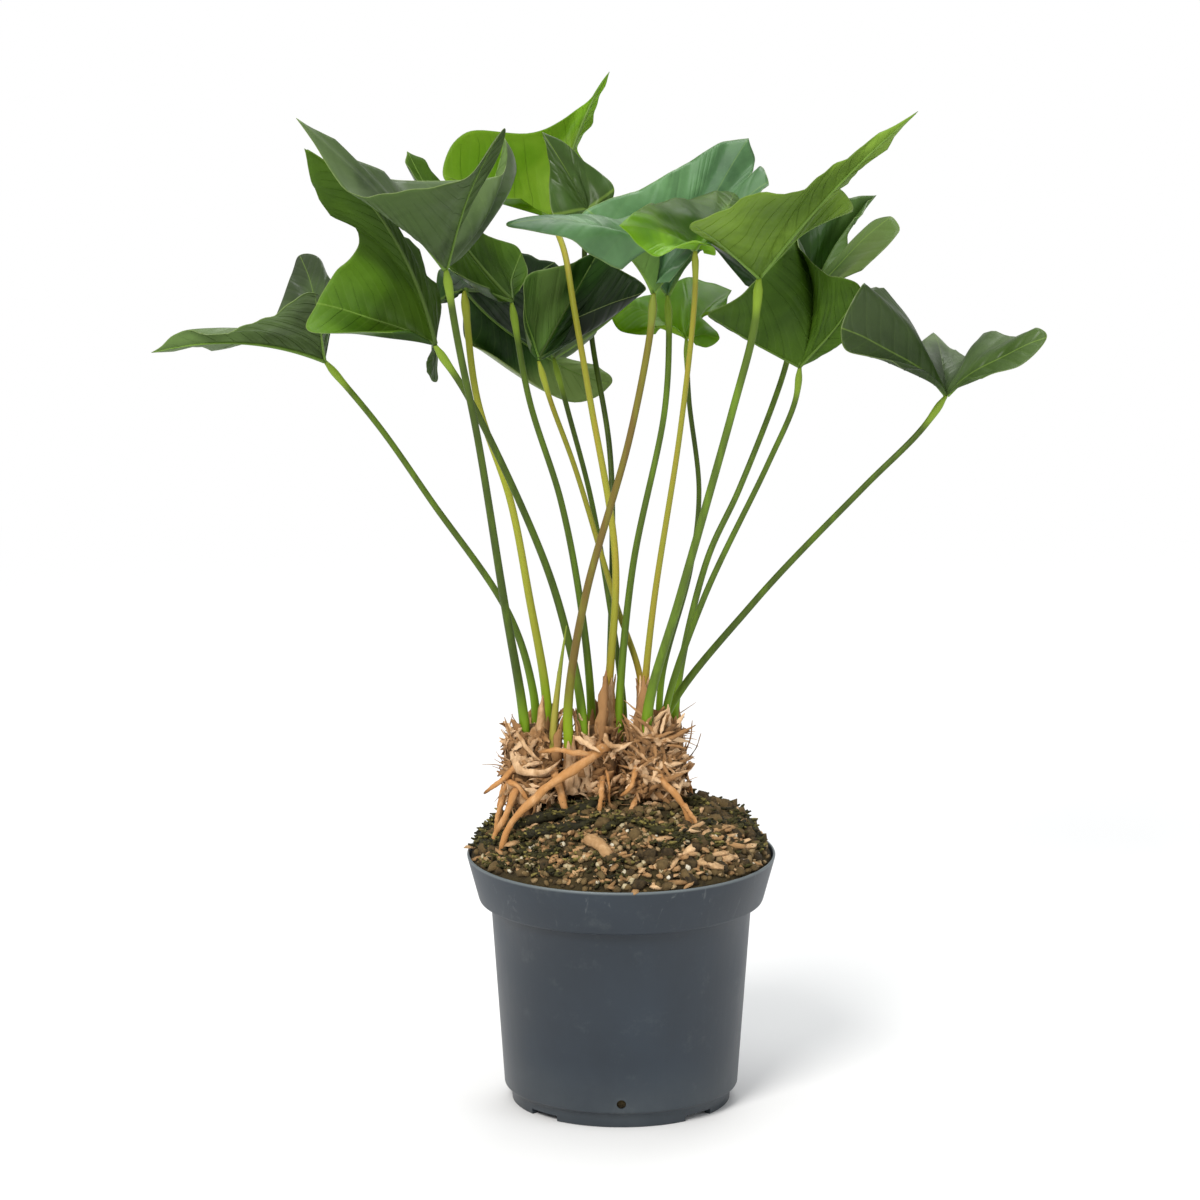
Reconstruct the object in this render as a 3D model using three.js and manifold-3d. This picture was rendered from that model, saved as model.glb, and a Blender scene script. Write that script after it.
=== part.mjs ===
// Potted arrow anthurium: seventeen three-lobed leaves in a tapered nursery pot.
// Millimetres, +Z up. The origin is on the pot's axis, where its base meets the floor.
import * as THREE from "three";
import { mergeVertices } from "three/addons/utils/BufferGeometryUtils.js";
import Module from "manifold-3d";

const wasm = await Module();
wasm.setup();

// Driving dimensions of the pot
const potHeight = 173;
const rimRadius = 105;
const bandFoot = { radius: 97.2, z: 142.6 };
const bodyTop = { radius: 88.9, z: 140.4 };
const bodyFoot = { radius: 79.8, z: 12 };
const footRadius = 74.5;
const footRingWidth = 5;
const footLean = 1;
const lip = 1.2;
const wall = 1.6;
const baseRecess = 3;
const baseTop = 5;
const restDiscRadius = 24;
const potSegments = 32;
const wallHole = { count: 4, radius: 3.2, z: 18 };
const baseHole = { count: 8, radius: 4.5, ring: 48 };
const footNotch = { count: 4, width: 24, height: 4 };
const holeSides = 8;
const holeCutLength = 12;

// The step of the wall between the body and the rim band, outside and inside, as radius and height
const outerShoulder = [96.2, 141.4];
const innerBandFoot = [95.6, 143.4];
const innerShoulder = [88.4, 142.6];
const innerBodyTop = [87.3, 141];

// The inside of the foot: the wall's end, the step and the edge of the base, as radius and height
const innerBodyFoot = [78.1, 15];
const innerStep = [73.4, 9];
const innerBase = [72.9, 5];

// Driving dimensions of the planting
const clearance = 0.3;
const stalkGap = 0.3;
const stalkEnd = 1.2;
const soilEdgeZ = 169;
const soilHeap = 42;
const soilBump = 2.6;
const soilEdgeWave = 1.4;
const soilRingRadii = [102.2, 90, 76, 58, 38, 18];
const seed = 41;
const bitsRadius = { least: 22, spread: 66 };
const chip = { count: 13, least: 9, spread: 9, width: 0.55, thick: 3.4, thickSpread: 2, raised: 0.6 };
const stone = { count: 9, least: 4, spread: 3.5, raised: 0.4 };
const bigChip = { size: [32, 14, 5], turns: [0.3, -0.22, -0.25], x: -8, y: -74, raised: 2 };

// Driving dimensions of the leaves
const marginThickness = 1;
const heartThickness = 1.6;
const ribHeight = 1.4;
const tipArch = 0.05;
const lobeArch = 0.06;
const petioleSides = 6;
const petioleSteps = 8;
const petioleTaper = 0.8;
const baseFlare = 1.25;
const jointSwelling = 1.35;
const stalkEndShare = 0.55;

// Along the margin of one half of a blade, from the tip to the heart: the angle from the tip rib
// at each of its seven landmarks, and the places between them where the mesh has its columns
const landmarkAngles = [0, 20, 52, 84, 100, 117, 129];
const lobeLandmark = 4;
const columnPlaces = [0, 0.4, 0.8, 1.3, 2, 2.5, 3, 3.5, 4, 4.5, 5.2, 6];
const bladeRows = [0.2, 0.48, 0.76, 1];
const heartShare = 0.5;
const naturalRipple = { height: 2.4, length: 46, phase: 1.7 };

const finishes = {
  pot: { colour: 0x4a525b, roughness: 0.62 },
  soil: { colour: 0x43362a, roughness: 0.95 },
  crown: { colour: 0x8a7450, roughness: 0.9 },
  shoot: { colour: 0x9aa84c, roughness: 0.55 },
  stalk: { colour: 0x5f7a33, roughness: 0.5 },
};
const greens = { deep: 0x2f4a26, mid: 0x47682c, bright: 0x7f9f2c, grey: 0x4c5f49, blue: 0x3f6058 };

// Each leaf: where its stalk meets the blade, the ends of its tip and two side lobes,
// the waist of the margin between them, and the stalk's route up from the crown.
// Left and right are seen from above with the tip pointing forward.
const leaves = [
  {
    name: "01", tone: "grey", junction: [-200, 20, 510], tip: [-313, -30, 525],
    tipMid: [-254, -20, 530], ripple: { height: 3.5, length: 52, phase: 4.4 },
    left: [
      [-288, -38, 540], [-245, -46, 545], [-219, -54, 566],
      [-203, -42, 565], [-196, -12, 549], [-198, 8, 528],
    ],
    right: [
      [-278, 8, 521], [-243, 50, 520], [-225, 96, 555],
      [-219, 108, 568], [-204, 88, 569], [-195, 56, 552],
    ],
    stalk: [[-57, 14, 236], [-60, 16, 282], [-76, 20, 334], [-129, 20, 414], [-163, 20, 464]],
  },
  {
    name: "02", tone: "mid", junction: [-124, -50, 534], tip: [-206, -120, 677],
    tipMid: [-155, -80, 619], stalkEnd: 1.9,
    left: [
      [-184, -84, 653], [-142, -34, 602], [-123, 2, 557],
      [-122, -2, 521], [-126, 0, 498], [-128, -26, 516],
    ],
    right: [
      [-198, -96, 639], [-173, -62, 608], [-190, -45, 581],
      [-202, -52, 561], [-205, -80, 547], [-151, -72, 548],
    ],
    stalk: [[-25, -13, 230], [-27, -10, 276], [-34, -5, 314], [-51, -15, 377], [-101, -40, 495]],
  },
  {
    name: "03", tone: "grey", junction: [-115, -110, 596], tip: [-207, -210, 711],
    tipMid: [-151, -165, 649], stalkEnd: 1.1, ripple: { height: 8, length: 75, phase: 5.8 },
    left: [
      [-177, -205, 669], [-139, -200, 657], [-102, -178, 671],
      [-78, -172, 702], [-78, -152, 681], [-93, -128, 645],
    ],
    right: [
      [-175, -160, 681], [-147, -98, 653], [-82, -70, 652],
      [-72, -46, 672], [-66, -34, 647], [-82, -50, 627],
    ],
    stalk: [[-64, -9, 230], [-66, -14, 270], [-79, -50, 363], [-95, -80, 476], [-108, -98, 548]],
  },
  {
    name: "04", tone: "deep", junction: [-106, 20, 558], tip: [-46, 160, 552],
    leftMid: [-61, 76, 506], stalkEnd: 2.6,
    left: [
      [-21, 180, 522], [-41, 132, 489], [-14, 114, 488],
      [-6, 106, 477], [-38, 78, 469], [-97, 42, 516],
    ],
    right: [
      [-69, 130, 562], [-103, 90, 565], [-123, 55, 562],
      [-124, 25, 552], [-122, 5, 550], [-114, 8, 556],
    ],
    stalk: [[-50, 2, 236], [-51, 2, 282], [-62, 2, 349], [-75, 10, 416], [-97, 15, 484]],
  },
  {
    name: "05", tone: "mid", junction: [-74, 20, 550], tip: [-144, 40, 649],
    left: [
      [-127, 56, 634], [-93, 54, 594], [-79, 64, 583],
      [-69, 62, 575], [-63, 46, 566], [-68, 28, 557],
    ],
    right: [
      [-142, 22, 637], [-117, 4, 610], [-114, -10, 596],
      [-113, -18, 583], [-106, -22, 575], [-89, -10, 564],
    ],
    stalk: [[-20, 12, 236], [-21, 14, 282], [-28, 15, 346], [-41, 10, 416], [-62, 10, 485]],
  },
  {
    name: "06", tone: "bright", junction: [-48, 110, 592], tip: [-8, 132, 689],
    tipMid: [-28, 128, 652],
    left: [
      [-16, 140, 663], [-28, 154, 638], [-23, 164, 617],
      [-16, 162, 606], [-23, 150, 597], [-36, 130, 592],
    ],
    right: [
      [-25, 130, 667], [-60, 120, 649], [-106, 108, 651],
      [-121, 98, 623], [-99, 92, 610], [-69, 98, 607],
    ],
    stalk: [[-11, 0, 236], [-9, 2, 282], [-4, 8, 375], [-21, 12, 484], [-32, 22, 546], [-38, 54, 576]],
  },
  {
    name: "07", tone: "deep", junction: [-23, 84, 602], tip: [-54, 98, 653],
    left: [
      [-51, 94, 641], [-48, 88, 627], [-49, 82, 614],
      [-47, 76, 599], [-38, 74, 594], [-29, 78, 597],
    ],
    right: [
      [-40, 100, 646], [-28, 98, 635], [-12, 96, 624],
      [-5, 92, 614], [-9, 88, 603], [-16, 85, 600],
    ],
    stalk: [[-9, 24, 236], [-8, 32, 282], [-6, 46, 380], [-8, 70, 440], [-20, 98, 510], [-25, 98, 566]],
  },
  {
    name: "08", tone: "deep", junction: [-56, 30, 508], tip: [-14, 74, 577],
    left: [
      [-6, 62, 570], [-2, 58, 565], [10, 50, 561],
      [15, 40, 555], [-6, 30, 548], [-31, 32, 535],
    ],
    right: [
      [-31, 62, 570], [-50, 52, 567], [-63, 38, 564],
      [-67, 28, 550], [-66, 22, 534], [-61, 24, 520],
    ],
    stalk: [[14, 14, 236], [13, 16, 290], [-3, 16, 341], [-31, 25, 434], [-48, 28, 481]],
  },
  {
    name: "09", tone: "grey", junction: [-46, 60, 504], tip: [14, 96, 544],
    left: [
      [-4, 92, 549], [-21, 82, 548], [-38, 76, 551],
      [-49, 73, 547], [-57, 67, 537], [-54, 60, 520],
    ],
    right: [
      [-6, 94, 535], [-16, 92, 523], [-21, 88, 514],
      [-28, 87, 507], [-35, 86, 504], [-42, 80, 504],
    ],
    stalk: [[2, 18, 232], [1, 18, 276], [-9, 25, 347], [-21, 42, 412], [-36, 52, 468]],
  },
  {
    name: "10", tone: "blue", junction: [21, -60, 571], tip: [29, 34, 602],
    leftMid: [-16, -80, 617],
    left: [
      [18, 4, 611], [0, -30, 615], [-49, -64, 621],
      [-76, -96, 622], [-34, -102, 612], [0, -84, 591],
    ],
    right: [
      [40, 10, 606], [47, -14, 606], [54, -38, 606],
      [50, -55, 605], [42, -64, 595], [30, -65, 580],
    ],
    stalk: [[-34, -14, 232], [-36, -24, 280], [-24, -46, 363], [5, -58, 472], [19, -60, 546]],
  },
  {
    name: "11", tone: "bright", junction: [48, -80, 604], tip: [-2, -140, 630],
    left: [
      [11, -142, 617], [24, -138, 612], [40, -122, 613],
      [58, -112, 613], [61, -97, 605], [54, -86, 604],
    ],
    right: [
      [9, -104, 633], [22, -60, 631], [47, -15, 627],
      [77, 24, 625], [79, -4, 615], [66, -50, 607],
    ],
    stalk: [[14, -4, 236], [16, -4, 290], [22, -10, 351], [39, -40, 474], [48, -68, 570]],
  },
  {
    name: "12", tone: "bright", junction: [44, 60, 518], tip: [76, 122, 539],
    left: [
      [54, 126, 547], [36, 128, 542], [8, 145, 530],
      [-7, 152, 523], [0, 108, 511], [23, 80, 518],
    ],
    right: [
      [69, 92, 533], [55, 72, 529], [62, 50, 528],
      [66, 36, 522], [58, 44, 515], [50, 52, 516],
    ],
    stalk: [[25, 22, 236], [28, 28, 290], [47, 44, 360], [53, 54, 412], [46, 58, 476]],
  },
  {
    name: "13", tone: "blue", junction: [31, 30, 553], tip: [87, 120, 645],
    left: [
      [69, 115, 643], [45, 92, 633], [13, 62, 620],
      [-23, 40, 610], [-20, 24, 602], [9, 22, 577],
    ],
    right: [
      [90, 108, 632], [87, 82, 616], [95, 80, 631],
      [98, 64, 626], [91, 44, 617], [56, 30, 586],
    ],
    stalk: [[-2, 0, 236], [-1, 2, 282], [8, 8, 372], [29, 18, 475], [32, 26, 525]],
  },
  {
    name: "14", tone: "mid", junction: [90, -80, 585], tip: [191, -125, 702],
    tipMid: [138, -112, 650],
    left: [
      [163, -98, 666], [144, -70, 645], [149, -40, 632],
      [152, -26, 622], [144, -16, 613], [115, -40, 601],
    ],
    right: [
      [145, -125, 673], [121, -134, 655], [76, -160, 650],
      [46, -150, 631], [52, -118, 617], [72, -90, 600],
    ],
    stalk: [[17, -20, 232], [18, -28, 280], [39, -55, 364], [73, -74, 494], [87, -80, 552]],
  },
  {
    name: "15", tone: "deep", junction: [119, 90, 521], tip: [178, 200, 592],
    left: [
      [155, 170, 594], [116, 125, 576], [78, 98, 572],
      [55, 76, 584], [64, 57, 577], [84, 60, 554],
    ],
    right: [
      [164, 155, 586], [148, 105, 558], [168, 98, 585],
      [184, 82, 597], [184, 62, 586], [163, 60, 564],
    ],
    stalk: [[36, 8, 236], [38, 10, 284], [58, 20, 372], [80, 36, 418], [110, 76, 488]],
  },
  {
    name: "16", tone: "mid", junction: [119, -20, 514], tip: [115, -14, 604],
    tipMid: [127, -24, 564], stalkEnd: 0.6,
    left: [
      [121, -40, 592], [134, -50, 582], [148, -54, 580],
      [159, -50, 572], [160, -38, 547], [142, -26, 528],
    ],
    right: [
      [108, -42, 596], [89, -58, 579], [71, -60, 565],
      [57, -52, 555], [67, -34, 545], [98, -22, 527],
    ],
    stalk: [[28, -12, 232], [30, -16, 276], [55, -16, 353], [98, -8, 444], [116, -12, 488]],
  },
  {
    name: "17", tone: "grey", junction: [217, -20, 494], tip: [215, 125, 509],
    ripple: { height: 4, length: 60, phase: 3.1 },
    left: [
      [195, 44, 517], [172, -20, 564], [158, -62, 576],
      [142, -78, 548], [150, -92, 535], [187, -72, 523],
    ],
    right: [
      [233, 60, 505], [248, 18, 527], [274, -28, 538],
      [283, -42, 536], [265, -48, 517], [241, -42, 507],
    ],
    stalk: [[26, 2, 230], [30, -2, 268], [89, -12, 350], [162, -20, 431], [200, -20, 470]],
  },
];

const stalkRadius = {
  "01": 2.6, "02": 2.9, "03": 3, "04": 2.9, "05": 2.6, "06": 2.6, "07": 2.3, "08": 2.2, "09": 2.2,
  10: 2.9, 11: 2.3, 12: 2.1, 13: 2.6, 14: 3.2, 15: 2.5, 16: 2.4, 17: 2.6,
};

// The three crowns that the stalks rise from: centre, half widths and top
const crowns = [
  { name: "left", x: -60, y: -1, rx: 20, ry: 21, top: 262, turn: 0.4 },
  { name: "middle", x: -17, y: 4, rx: 18, ry: 23, top: 260, turn: 1.3 },
  { name: "right", x: 24, y: 0, rx: 20, ry: 24, top: 264, turn: 2.1 },
];
const crownFootZ = 182;
const crownSides = 10;
// Height up the crown and half width, both as shares
const crownProfile = [
  [0, 0.62], [0.15, 0.66], [0.32, 0.78], [0.5, 0.96], [0.68, 1.06], [0.84, 0.98], [0.95, 0.74], [1, 0.42],
];
const crownLump = { slow: 0.07, quick: 0.05 };
const sheath = { count: 9, width: 7, length: 36, lengthSpread: 9, sides: 4, flatness: 0.5, aboveFoot: 14 };
const fibre = { count: 5, width: 3, length: 40, lengthSpread: 12, sides: 3, flatness: 0.8, belowTop: 22 };
const goldenTurn = 2.4;
const rootDepth = 6;
const rootSteps = 5;
const rootSides = 5;
const backRoot = { count: 3, radius: 1.4, radiusSpread: 0.7, startZ: 212, startSpread: 30 };

// Aerial roots at the front, each from its crown down into the soil: radius and route, where a last
// point without a height lies just under the soil
const roots = {
  left: [
    { radius: 1.9, route: [[-68, -10, 244], [-77, -20, 232], [-85, -22, 226], [-93, -23, 220]] },
    { radius: 1.8, route: [[-68, -10, 234], [-77, -18, 229], [-69, -24, 226], [-61, -26, 214]] },
    { radius: 2.4, route: [[-66, -12, 228], [-73, -22, 219], [-80, -27, 203], [-86, -24, 192], [-88, -23]] },
    { radius: 2.8, route: [[-48, -10, 240], [-46, -21, 232], [-43, -27, 220], [-39, -29, 208], [-38, -30]] },
  ],
  middle: [
    { radius: 3, route: [[-10, -12, 251], [-25, -29, 243], [-52, -37, 227], [-75, -38, 202], [-83, -37]] },
    { radius: 1.9, route: [[-14, -14, 247], [-27, -29, 248], [-41, -32, 251], [-56, -31, 251]] },
    { radius: 1.8, route: [[-13, -10, 232], [-12, -29, 223], [-15, -35, 211], [-15, -37]] },
  ],
  right: [
    { radius: 2.4, route: [[22, -14, 245], [27, -31, 233], [40, -37, 219], [46, -38, 205], [47, -38]] },
    { radius: 1.4, route: [[42, -37, 216], [50, -39, 207], [54, -40]] },
    { radius: 1.8, route: [[13, -12, 247], [9, -30, 236], [6, -33, 227], [-1, -31, 220]] },
  ],
};

// The young shoot: a slim spear between the stalks of the left crown
const shoot = { radius: 2.6, route: [[-47, -13, 236], [-46, -15, 262], [-42, -18, 300], [-37, -20, 336]] };

// Small helpers for vectors, easing and repeatable random draws
const vec = (point) => new THREE.Vector3(...point);
const unit = (v) => v.clone().normalize();
const smooth = (x) => {
  const t = Math.min(1, Math.max(0, x));
  return t * t * (3 - 2 * t);
};
const clamp = (i, last) => Math.min(last, Math.max(0, i));
const sum = (vectors) => vectors.reduce((total, next) => total.add(next), new THREE.Vector3());
const bell = (x, width) => Math.exp(-((x / width) ** 2));

function makeRandom(start) {
  let state = start;
  return () => {
    state = (state * 1664525 + 1013904223) % 4294967296;
    return state / 4294967296;
  };
}

function interpolate(table, x) {
  const last = table.length - 1;
  const i = Math.min(last, Math.max(1, table.findIndex(([at]) => at >= x)));
  const [x0, y0] = table[i - 1];
  const [x1, y1] = table[i];
  return y0 + ((y1 - y0) * (x - x0)) / (x1 - x0);
}

// Solids: a closed geometry in, a manifold out, and back
function toSolid(geometry) {
  const bare = geometry.clone();
  bare.deleteAttribute("normal");
  bare.deleteAttribute("uv");
  const merged = mergeVertices(bare, 1e-4);
  const index = Array.from(merged.index.array);
  const triangles = [];
  for (let i = 0; i < index.length; i += 3) {
    const [a, b, c] = index.slice(i, i + 3);
    if (a !== b && b !== c && c !== a) triangles.push(a, b, c);
  }
  const mesh = new wasm.Mesh({
    numProp: 3,
    vertProperties: new Float32Array(merged.attributes.position.array),
    triVerts: new Uint32Array(triangles),
  });
  return new wasm.Manifold(mesh);
}

function toGeometry(solid) {
  const mesh = solid.getMesh();
  const geometry = new THREE.BufferGeometry();
  geometry.setAttribute("position", new THREE.BufferAttribute(mesh.vertProperties, 3));
  geometry.setIndex(new THREE.BufferAttribute(mesh.triVerts, 1));
  geometry.computeVertexNormals();
  return geometry;
}

const join = (solids) => solids.reduce((whole, next) => whole.add(next));
const cut = (solid, tools) => tools.reduce((left, tool) => left.subtract(tool), solid);

function largestBody(solid) {
  const bodies = solid.decompose();
  return bodies.reduce((best, next) => (next.volume() > best.volume() ? next : best));
}

function fromTriangles(points, triangles) {
  const geometry = new THREE.BufferGeometry();
  geometry.setAttribute("position", new THREE.Float32BufferAttribute(points.flat(), 3));
  geometry.setIndex(triangles);
  return geometry;
}

// A closed body from rings of points, lowest first, with a point to close each end
function ringBody(rings, startPoint, endPoint) {
  const sides = rings[0].length;
  const points = [startPoint, ...rings.flat(), endPoint];
  const at = (ring, side) => 1 + ring * sides + (side % sides);
  const end = points.length - 1;
  const triangles = [];
  for (let side = 0; side < sides; side += 1) {
    triangles.push(0, at(0, side + 1), at(0, side));
    for (let ring = 0; ring < rings.length - 1; ring += 1) {
      triangles.push(at(ring, side), at(ring, side + 1), at(ring + 1, side + 1));
      triangles.push(at(ring, side), at(ring + 1, side + 1), at(ring + 1, side));
    }
    triangles.push(at(rings.length - 1, side), at(rings.length - 1, side + 1), end);
  }
  return fromTriangles(points, triangles);
}

// A tube along a smooth route, with its radius a function of the share of the way
function tube(route, steps, sides, radiusAt) {
  const curve = new THREE.CatmullRomCurve3(route.map(vec), false, "centripetal");
  const frames = curve.computeFrenetFrames(steps, false);
  const rings = [];
  for (let step = 0; step <= steps; step += 1) {
    const centre = curve.getPointAt(step / steps);
    const radius = radiusAt(step / steps);
    const ring = [];
    for (let side = 0; side < sides; side += 1) {
      const angle = (2 * Math.PI * side) / sides;
      const point = centre.clone();
      point.addScaledVector(frames.normals[step], radius * Math.cos(angle));
      point.addScaledVector(frames.binormals[step], radius * Math.sin(angle));
      ring.push(point.toArray());
    }
    rings.push(ring);
  }
  return ringBody(rings, curve.getPointAt(0).toArray(), curve.getPointAt(1).toArray());
}

// The pot: one lathed shell with a rim band, foot ring, drain holes and foot notches
function potSolid() {
  const profile = [
    [0, 0],
    [restDiscRadius, 0],
    [restDiscRadius + footLean, baseRecess],
    [footRadius - footRingWidth - footLean, baseRecess],
    [footRadius - footRingWidth, 0],
    [footRadius, 0],
    [footRadius + 0.6 * footLean, bodyFoot.z - 4],
    [bodyFoot.radius, bodyFoot.z],
    [bodyTop.radius, bodyTop.z],
    outerShoulder,
    [bandFoot.radius, bandFoot.z],
    [rimRadius, potHeight - lip],
    [rimRadius - lip / 3, potHeight],
    [rimRadius - wall, potHeight],
    innerBandFoot,
    innerShoulder,
    innerBodyTop,
    innerBodyFoot,
    innerStep,
    innerBase,
    [0, baseTop],
  ];
  const shell = new THREE.LatheGeometry(profile.map(([r, z]) => new THREE.Vector2(r, z)), potSegments);
  shell.rotateX(Math.PI / 2);
  const tools = [];
  for (let i = 0; i < wallHole.count; i += 1) {
    const hole = new THREE.CylinderGeometry(wallHole.radius, wallHole.radius, holeCutLength, holeSides);
    hole.translate(0, bodyFoot.radius, 0);
    hole.rotateZ((2 * Math.PI * i) / wallHole.count);
    hole.translate(0, 0, wallHole.z);
    tools.push(toSolid(hole));
  }
  for (let i = 0; i < baseHole.count; i += 1) {
    const angle = (2 * Math.PI * (i + 0.5)) / baseHole.count;
    const hole = new THREE.CylinderGeometry(baseHole.radius, baseHole.radius, holeCutLength, holeSides);
    hole.rotateX(Math.PI / 2);
    hole.translate(baseHole.ring * Math.cos(angle), baseHole.ring * Math.sin(angle), baseTop);
    tools.push(toSolid(hole));
  }
  for (let i = 0; i < footNotch.count; i += 1) {
    const notch = new THREE.BoxGeometry(3 * footRingWidth, footNotch.width, 2 * footNotch.height);
    notch.translate(footRadius, 0, 0);
    notch.rotateZ((2 * Math.PI * (i + 0.5)) / footNotch.count);
    tools.push(toSolid(notch));
  }
  return cut(toSolid(shell), tools);
}

// The soil: a plug that fills the pot and heaps up in the middle, with bark and stones on it
function soilTop(x, y) {
  const share = Math.min(1, Math.hypot(x, y) / (rimRadius - wall));
  const heap = soilEdgeZ + soilHeap * (1 - share ** 3);
  const bumps = Math.sin(x * 0.13 + 1.2) * Math.cos(y * 0.11) + 0.6 * Math.sin(x * 0.07 - y * 0.19);
  return heap + soilBump * bumps * (1 - share ** 6) + soilEdgeWave * Math.sin(5 * Math.atan2(y, x)) * share;
}

function soilPlug() {
  const inward = ([radius, z]) => [radius - clearance, z + clearance];
  const sides = [innerBase, innerStep, innerBodyFoot, innerBodyTop, innerShoulder, innerBandFoot];
  const rings = sides.map(inward).map(([radius, z]) => ringOf(radius, () => z));
  for (const radius of soilRingRadii) rings.push(ringOf(radius, soilTop));
  return toSolid(ringBody(rings, [0, 0, baseTop + clearance], [0, 0, soilTop(0, 0)]));
}

function ringOf(radius, heightAt) {
  return Array.from({ length: potSegments }, (_, i) => {
    const angle = (2 * Math.PI * i) / potSegments;
    const x = radius * Math.sin(angle);
    const y = -radius * Math.cos(angle);
    return [x, y, heightAt(x, y)];
  });
}

function soilPieces() {
  const random = makeRandom(seed);
  const pieces = [];
  for (let i = 0; i < chip.count + stone.count; i += 1) {
    const kind = i < chip.count ? chip : stone;
    const radius = bitsRadius.least + bitsRadius.spread * Math.sqrt(random());
    const angle = 2 * Math.PI * random();
    const size = kind.least + kind.spread * random();
    const piece = kind === chip
      ? new THREE.BoxGeometry(size, size * chip.width, chip.thick + chip.thickSpread * random())
      : new THREE.OctahedronGeometry(size, 0);
    piece.rotateX(0.5 * (random() - 0.5));
    piece.rotateY(0.6 * (random() - 0.5));
    piece.rotateZ(2 * Math.PI * random());
    const x = radius * Math.cos(angle);
    const y = radius * Math.sin(angle);
    piece.translate(x, y, soilTop(x, y) + kind.raised);
    pieces.push(toSolid(piece));
  }
  const slab = new THREE.BoxGeometry(...bigChip.size);
  slab.rotateY(bigChip.turns[1]);
  slab.rotateX(bigChip.turns[0]);
  slab.rotateZ(bigChip.turns[2]);
  slab.translate(bigChip.x, bigChip.y, soilTop(bigChip.x, bigChip.y) + bigChip.raised);
  pieces.push(toSolid(slab));
  return pieces;
}

// A crown: a lumpy upright rhizome with old leaf sheaths round it and its aerial roots
function crownSolid(crown, grow) {
  const height = crown.top - crownFootZ;
  const rings = crownProfile.map(([level, width]) => Array.from({ length: crownSides }, (_, side) => {
    const angle = (2 * Math.PI * side) / crownSides;
    const slowLump = crownLump.slow * Math.sin(3 * angle + crown.turn + 4 * level);
    const lump = 1 + slowLump + crownLump.quick * Math.sin(5 * angle - 9 * level);
    return [
      crown.x + (crown.rx * width * lump + grow) * Math.cos(angle),
      crown.y + (crown.ry * width * lump + grow) * Math.sin(angle),
      crownFootZ - grow + level * (height + 2 * grow),
    ];
  }));
  const foot = [crown.x, crown.y, crownFootZ - grow - 1];
  const head = [crown.x, crown.y, crown.top + grow + 2];
  const parts = [toSolid(ringBody(rings, foot, head))];
  for (let i = 0; i < sheath.count; i += 1) parts.push(sheathSolid(crown, i, grow));
  for (let i = 0; i < fibre.count; i += 1) parts.push(fibreSolid(crown, i, grow));
  for (const root of [...roots[crown.name], ...backRoots(crown)]) {
    const radiusAt = (share) => root.radius * (1.1 - 0.25 * share) + grow;
    const route = root.route.map(([x, y, z]) => [x, y, z ?? soilTop(x, y) - rootDepth]);
    parts.push(toSolid(tube(route, rootSteps, rootSides, radiusAt)));
  }
  return join(parts);
}

// A point on the crown's side, at an angle round it and a share of its half widths
function besideCrown(crown, angle, share, z) {
  return [crown.x + crown.rx * share * Math.cos(angle), crown.y + crown.ry * share * Math.sin(angle), z];
}

// Roots at the back of a crown, by a seeded rule: out from its side, then down into the soil
function backRoots(crown) {
  const random = makeRandom(seed + 100 * crown.turn);
  return Array.from({ length: backRoot.count }, (_, i) => {
    const angle = Math.PI * ((i + 0.5 + 0.5 * (random() - 0.5)) / backRoot.count);
    const startZ = backRoot.startZ + backRoot.startSpread * random();
    const reach = 1.5 + 0.35 * random();
    return {
      radius: backRoot.radius + backRoot.radiusSpread * random(),
      route: [
        besideCrown(crown, angle, 0.8, startZ),
        besideCrown(crown, angle + 0.1, 1 + 0.6 * (reach - 1), startZ - 6),
        besideCrown(crown, angle + 0.15, reach, startZ - 22),
        besideCrown(crown, angle + 0.15, reach + 0.03),
      ],
    };
  });
}

// A pointed scale that starts low on the crown and leans off it at the top
function scaleSolid(crown, kind, place, grow) {
  const scale = new THREE.ConeGeometry(kind.width + grow, place.length + 3 * grow, kind.sides, 1);
  scale.rotateX(Math.PI / 2);
  scale.scale(kind.flatness, 1, 1);
  scale.translate(0, 0, place.length / 2);
  scale.rotateY(place.lean);
  scale.rotateZ(place.angle);
  scale.translate(...besideCrown(crown, place.angle, place.share, place.footZ));
  return toSolid(scale);
}

// An old leaf sheath
function sheathSolid(crown, index, grow) {
  const climb = (index / sheath.count) * (crown.top - crownFootZ - 2 * sheath.aboveFoot);
  return scaleSolid(crown, sheath, {
    angle: index * goldenTurn + crown.turn,
    length: sheath.length + sheath.lengthSpread * Math.sin(index * 1.7 + crown.turn),
    footZ: crownFootZ + sheath.aboveFoot + climb,
    lean: 0.22 + 0.16 * Math.sin(index * 1.3),
    share: 0.8,
  }, grow);
}

// A dry fibre of a rotted sheath, standing among the stalks
function fibreSolid(crown, index, grow) {
  return scaleSolid(crown, fibre, {
    angle: index * goldenTurn + crown.turn + 1.1,
    length: fibre.length + fibre.lengthSpread * Math.sin(index * 2.3 + crown.turn),
    footZ: crown.top - fibre.belowTop,
    lean: 0.14,
    share: 0.66 + 0.1 * Math.sin(index * 3.1),
  }, grow);
}

function shootSolid(grow) {
  const radiusAt = (share) => shoot.radius * Math.cos(share * 1.5) + 0.25 + grow;
  return toSolid(tube(shoot.route, petioleSteps, petioleSides, radiusAt));
}

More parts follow.
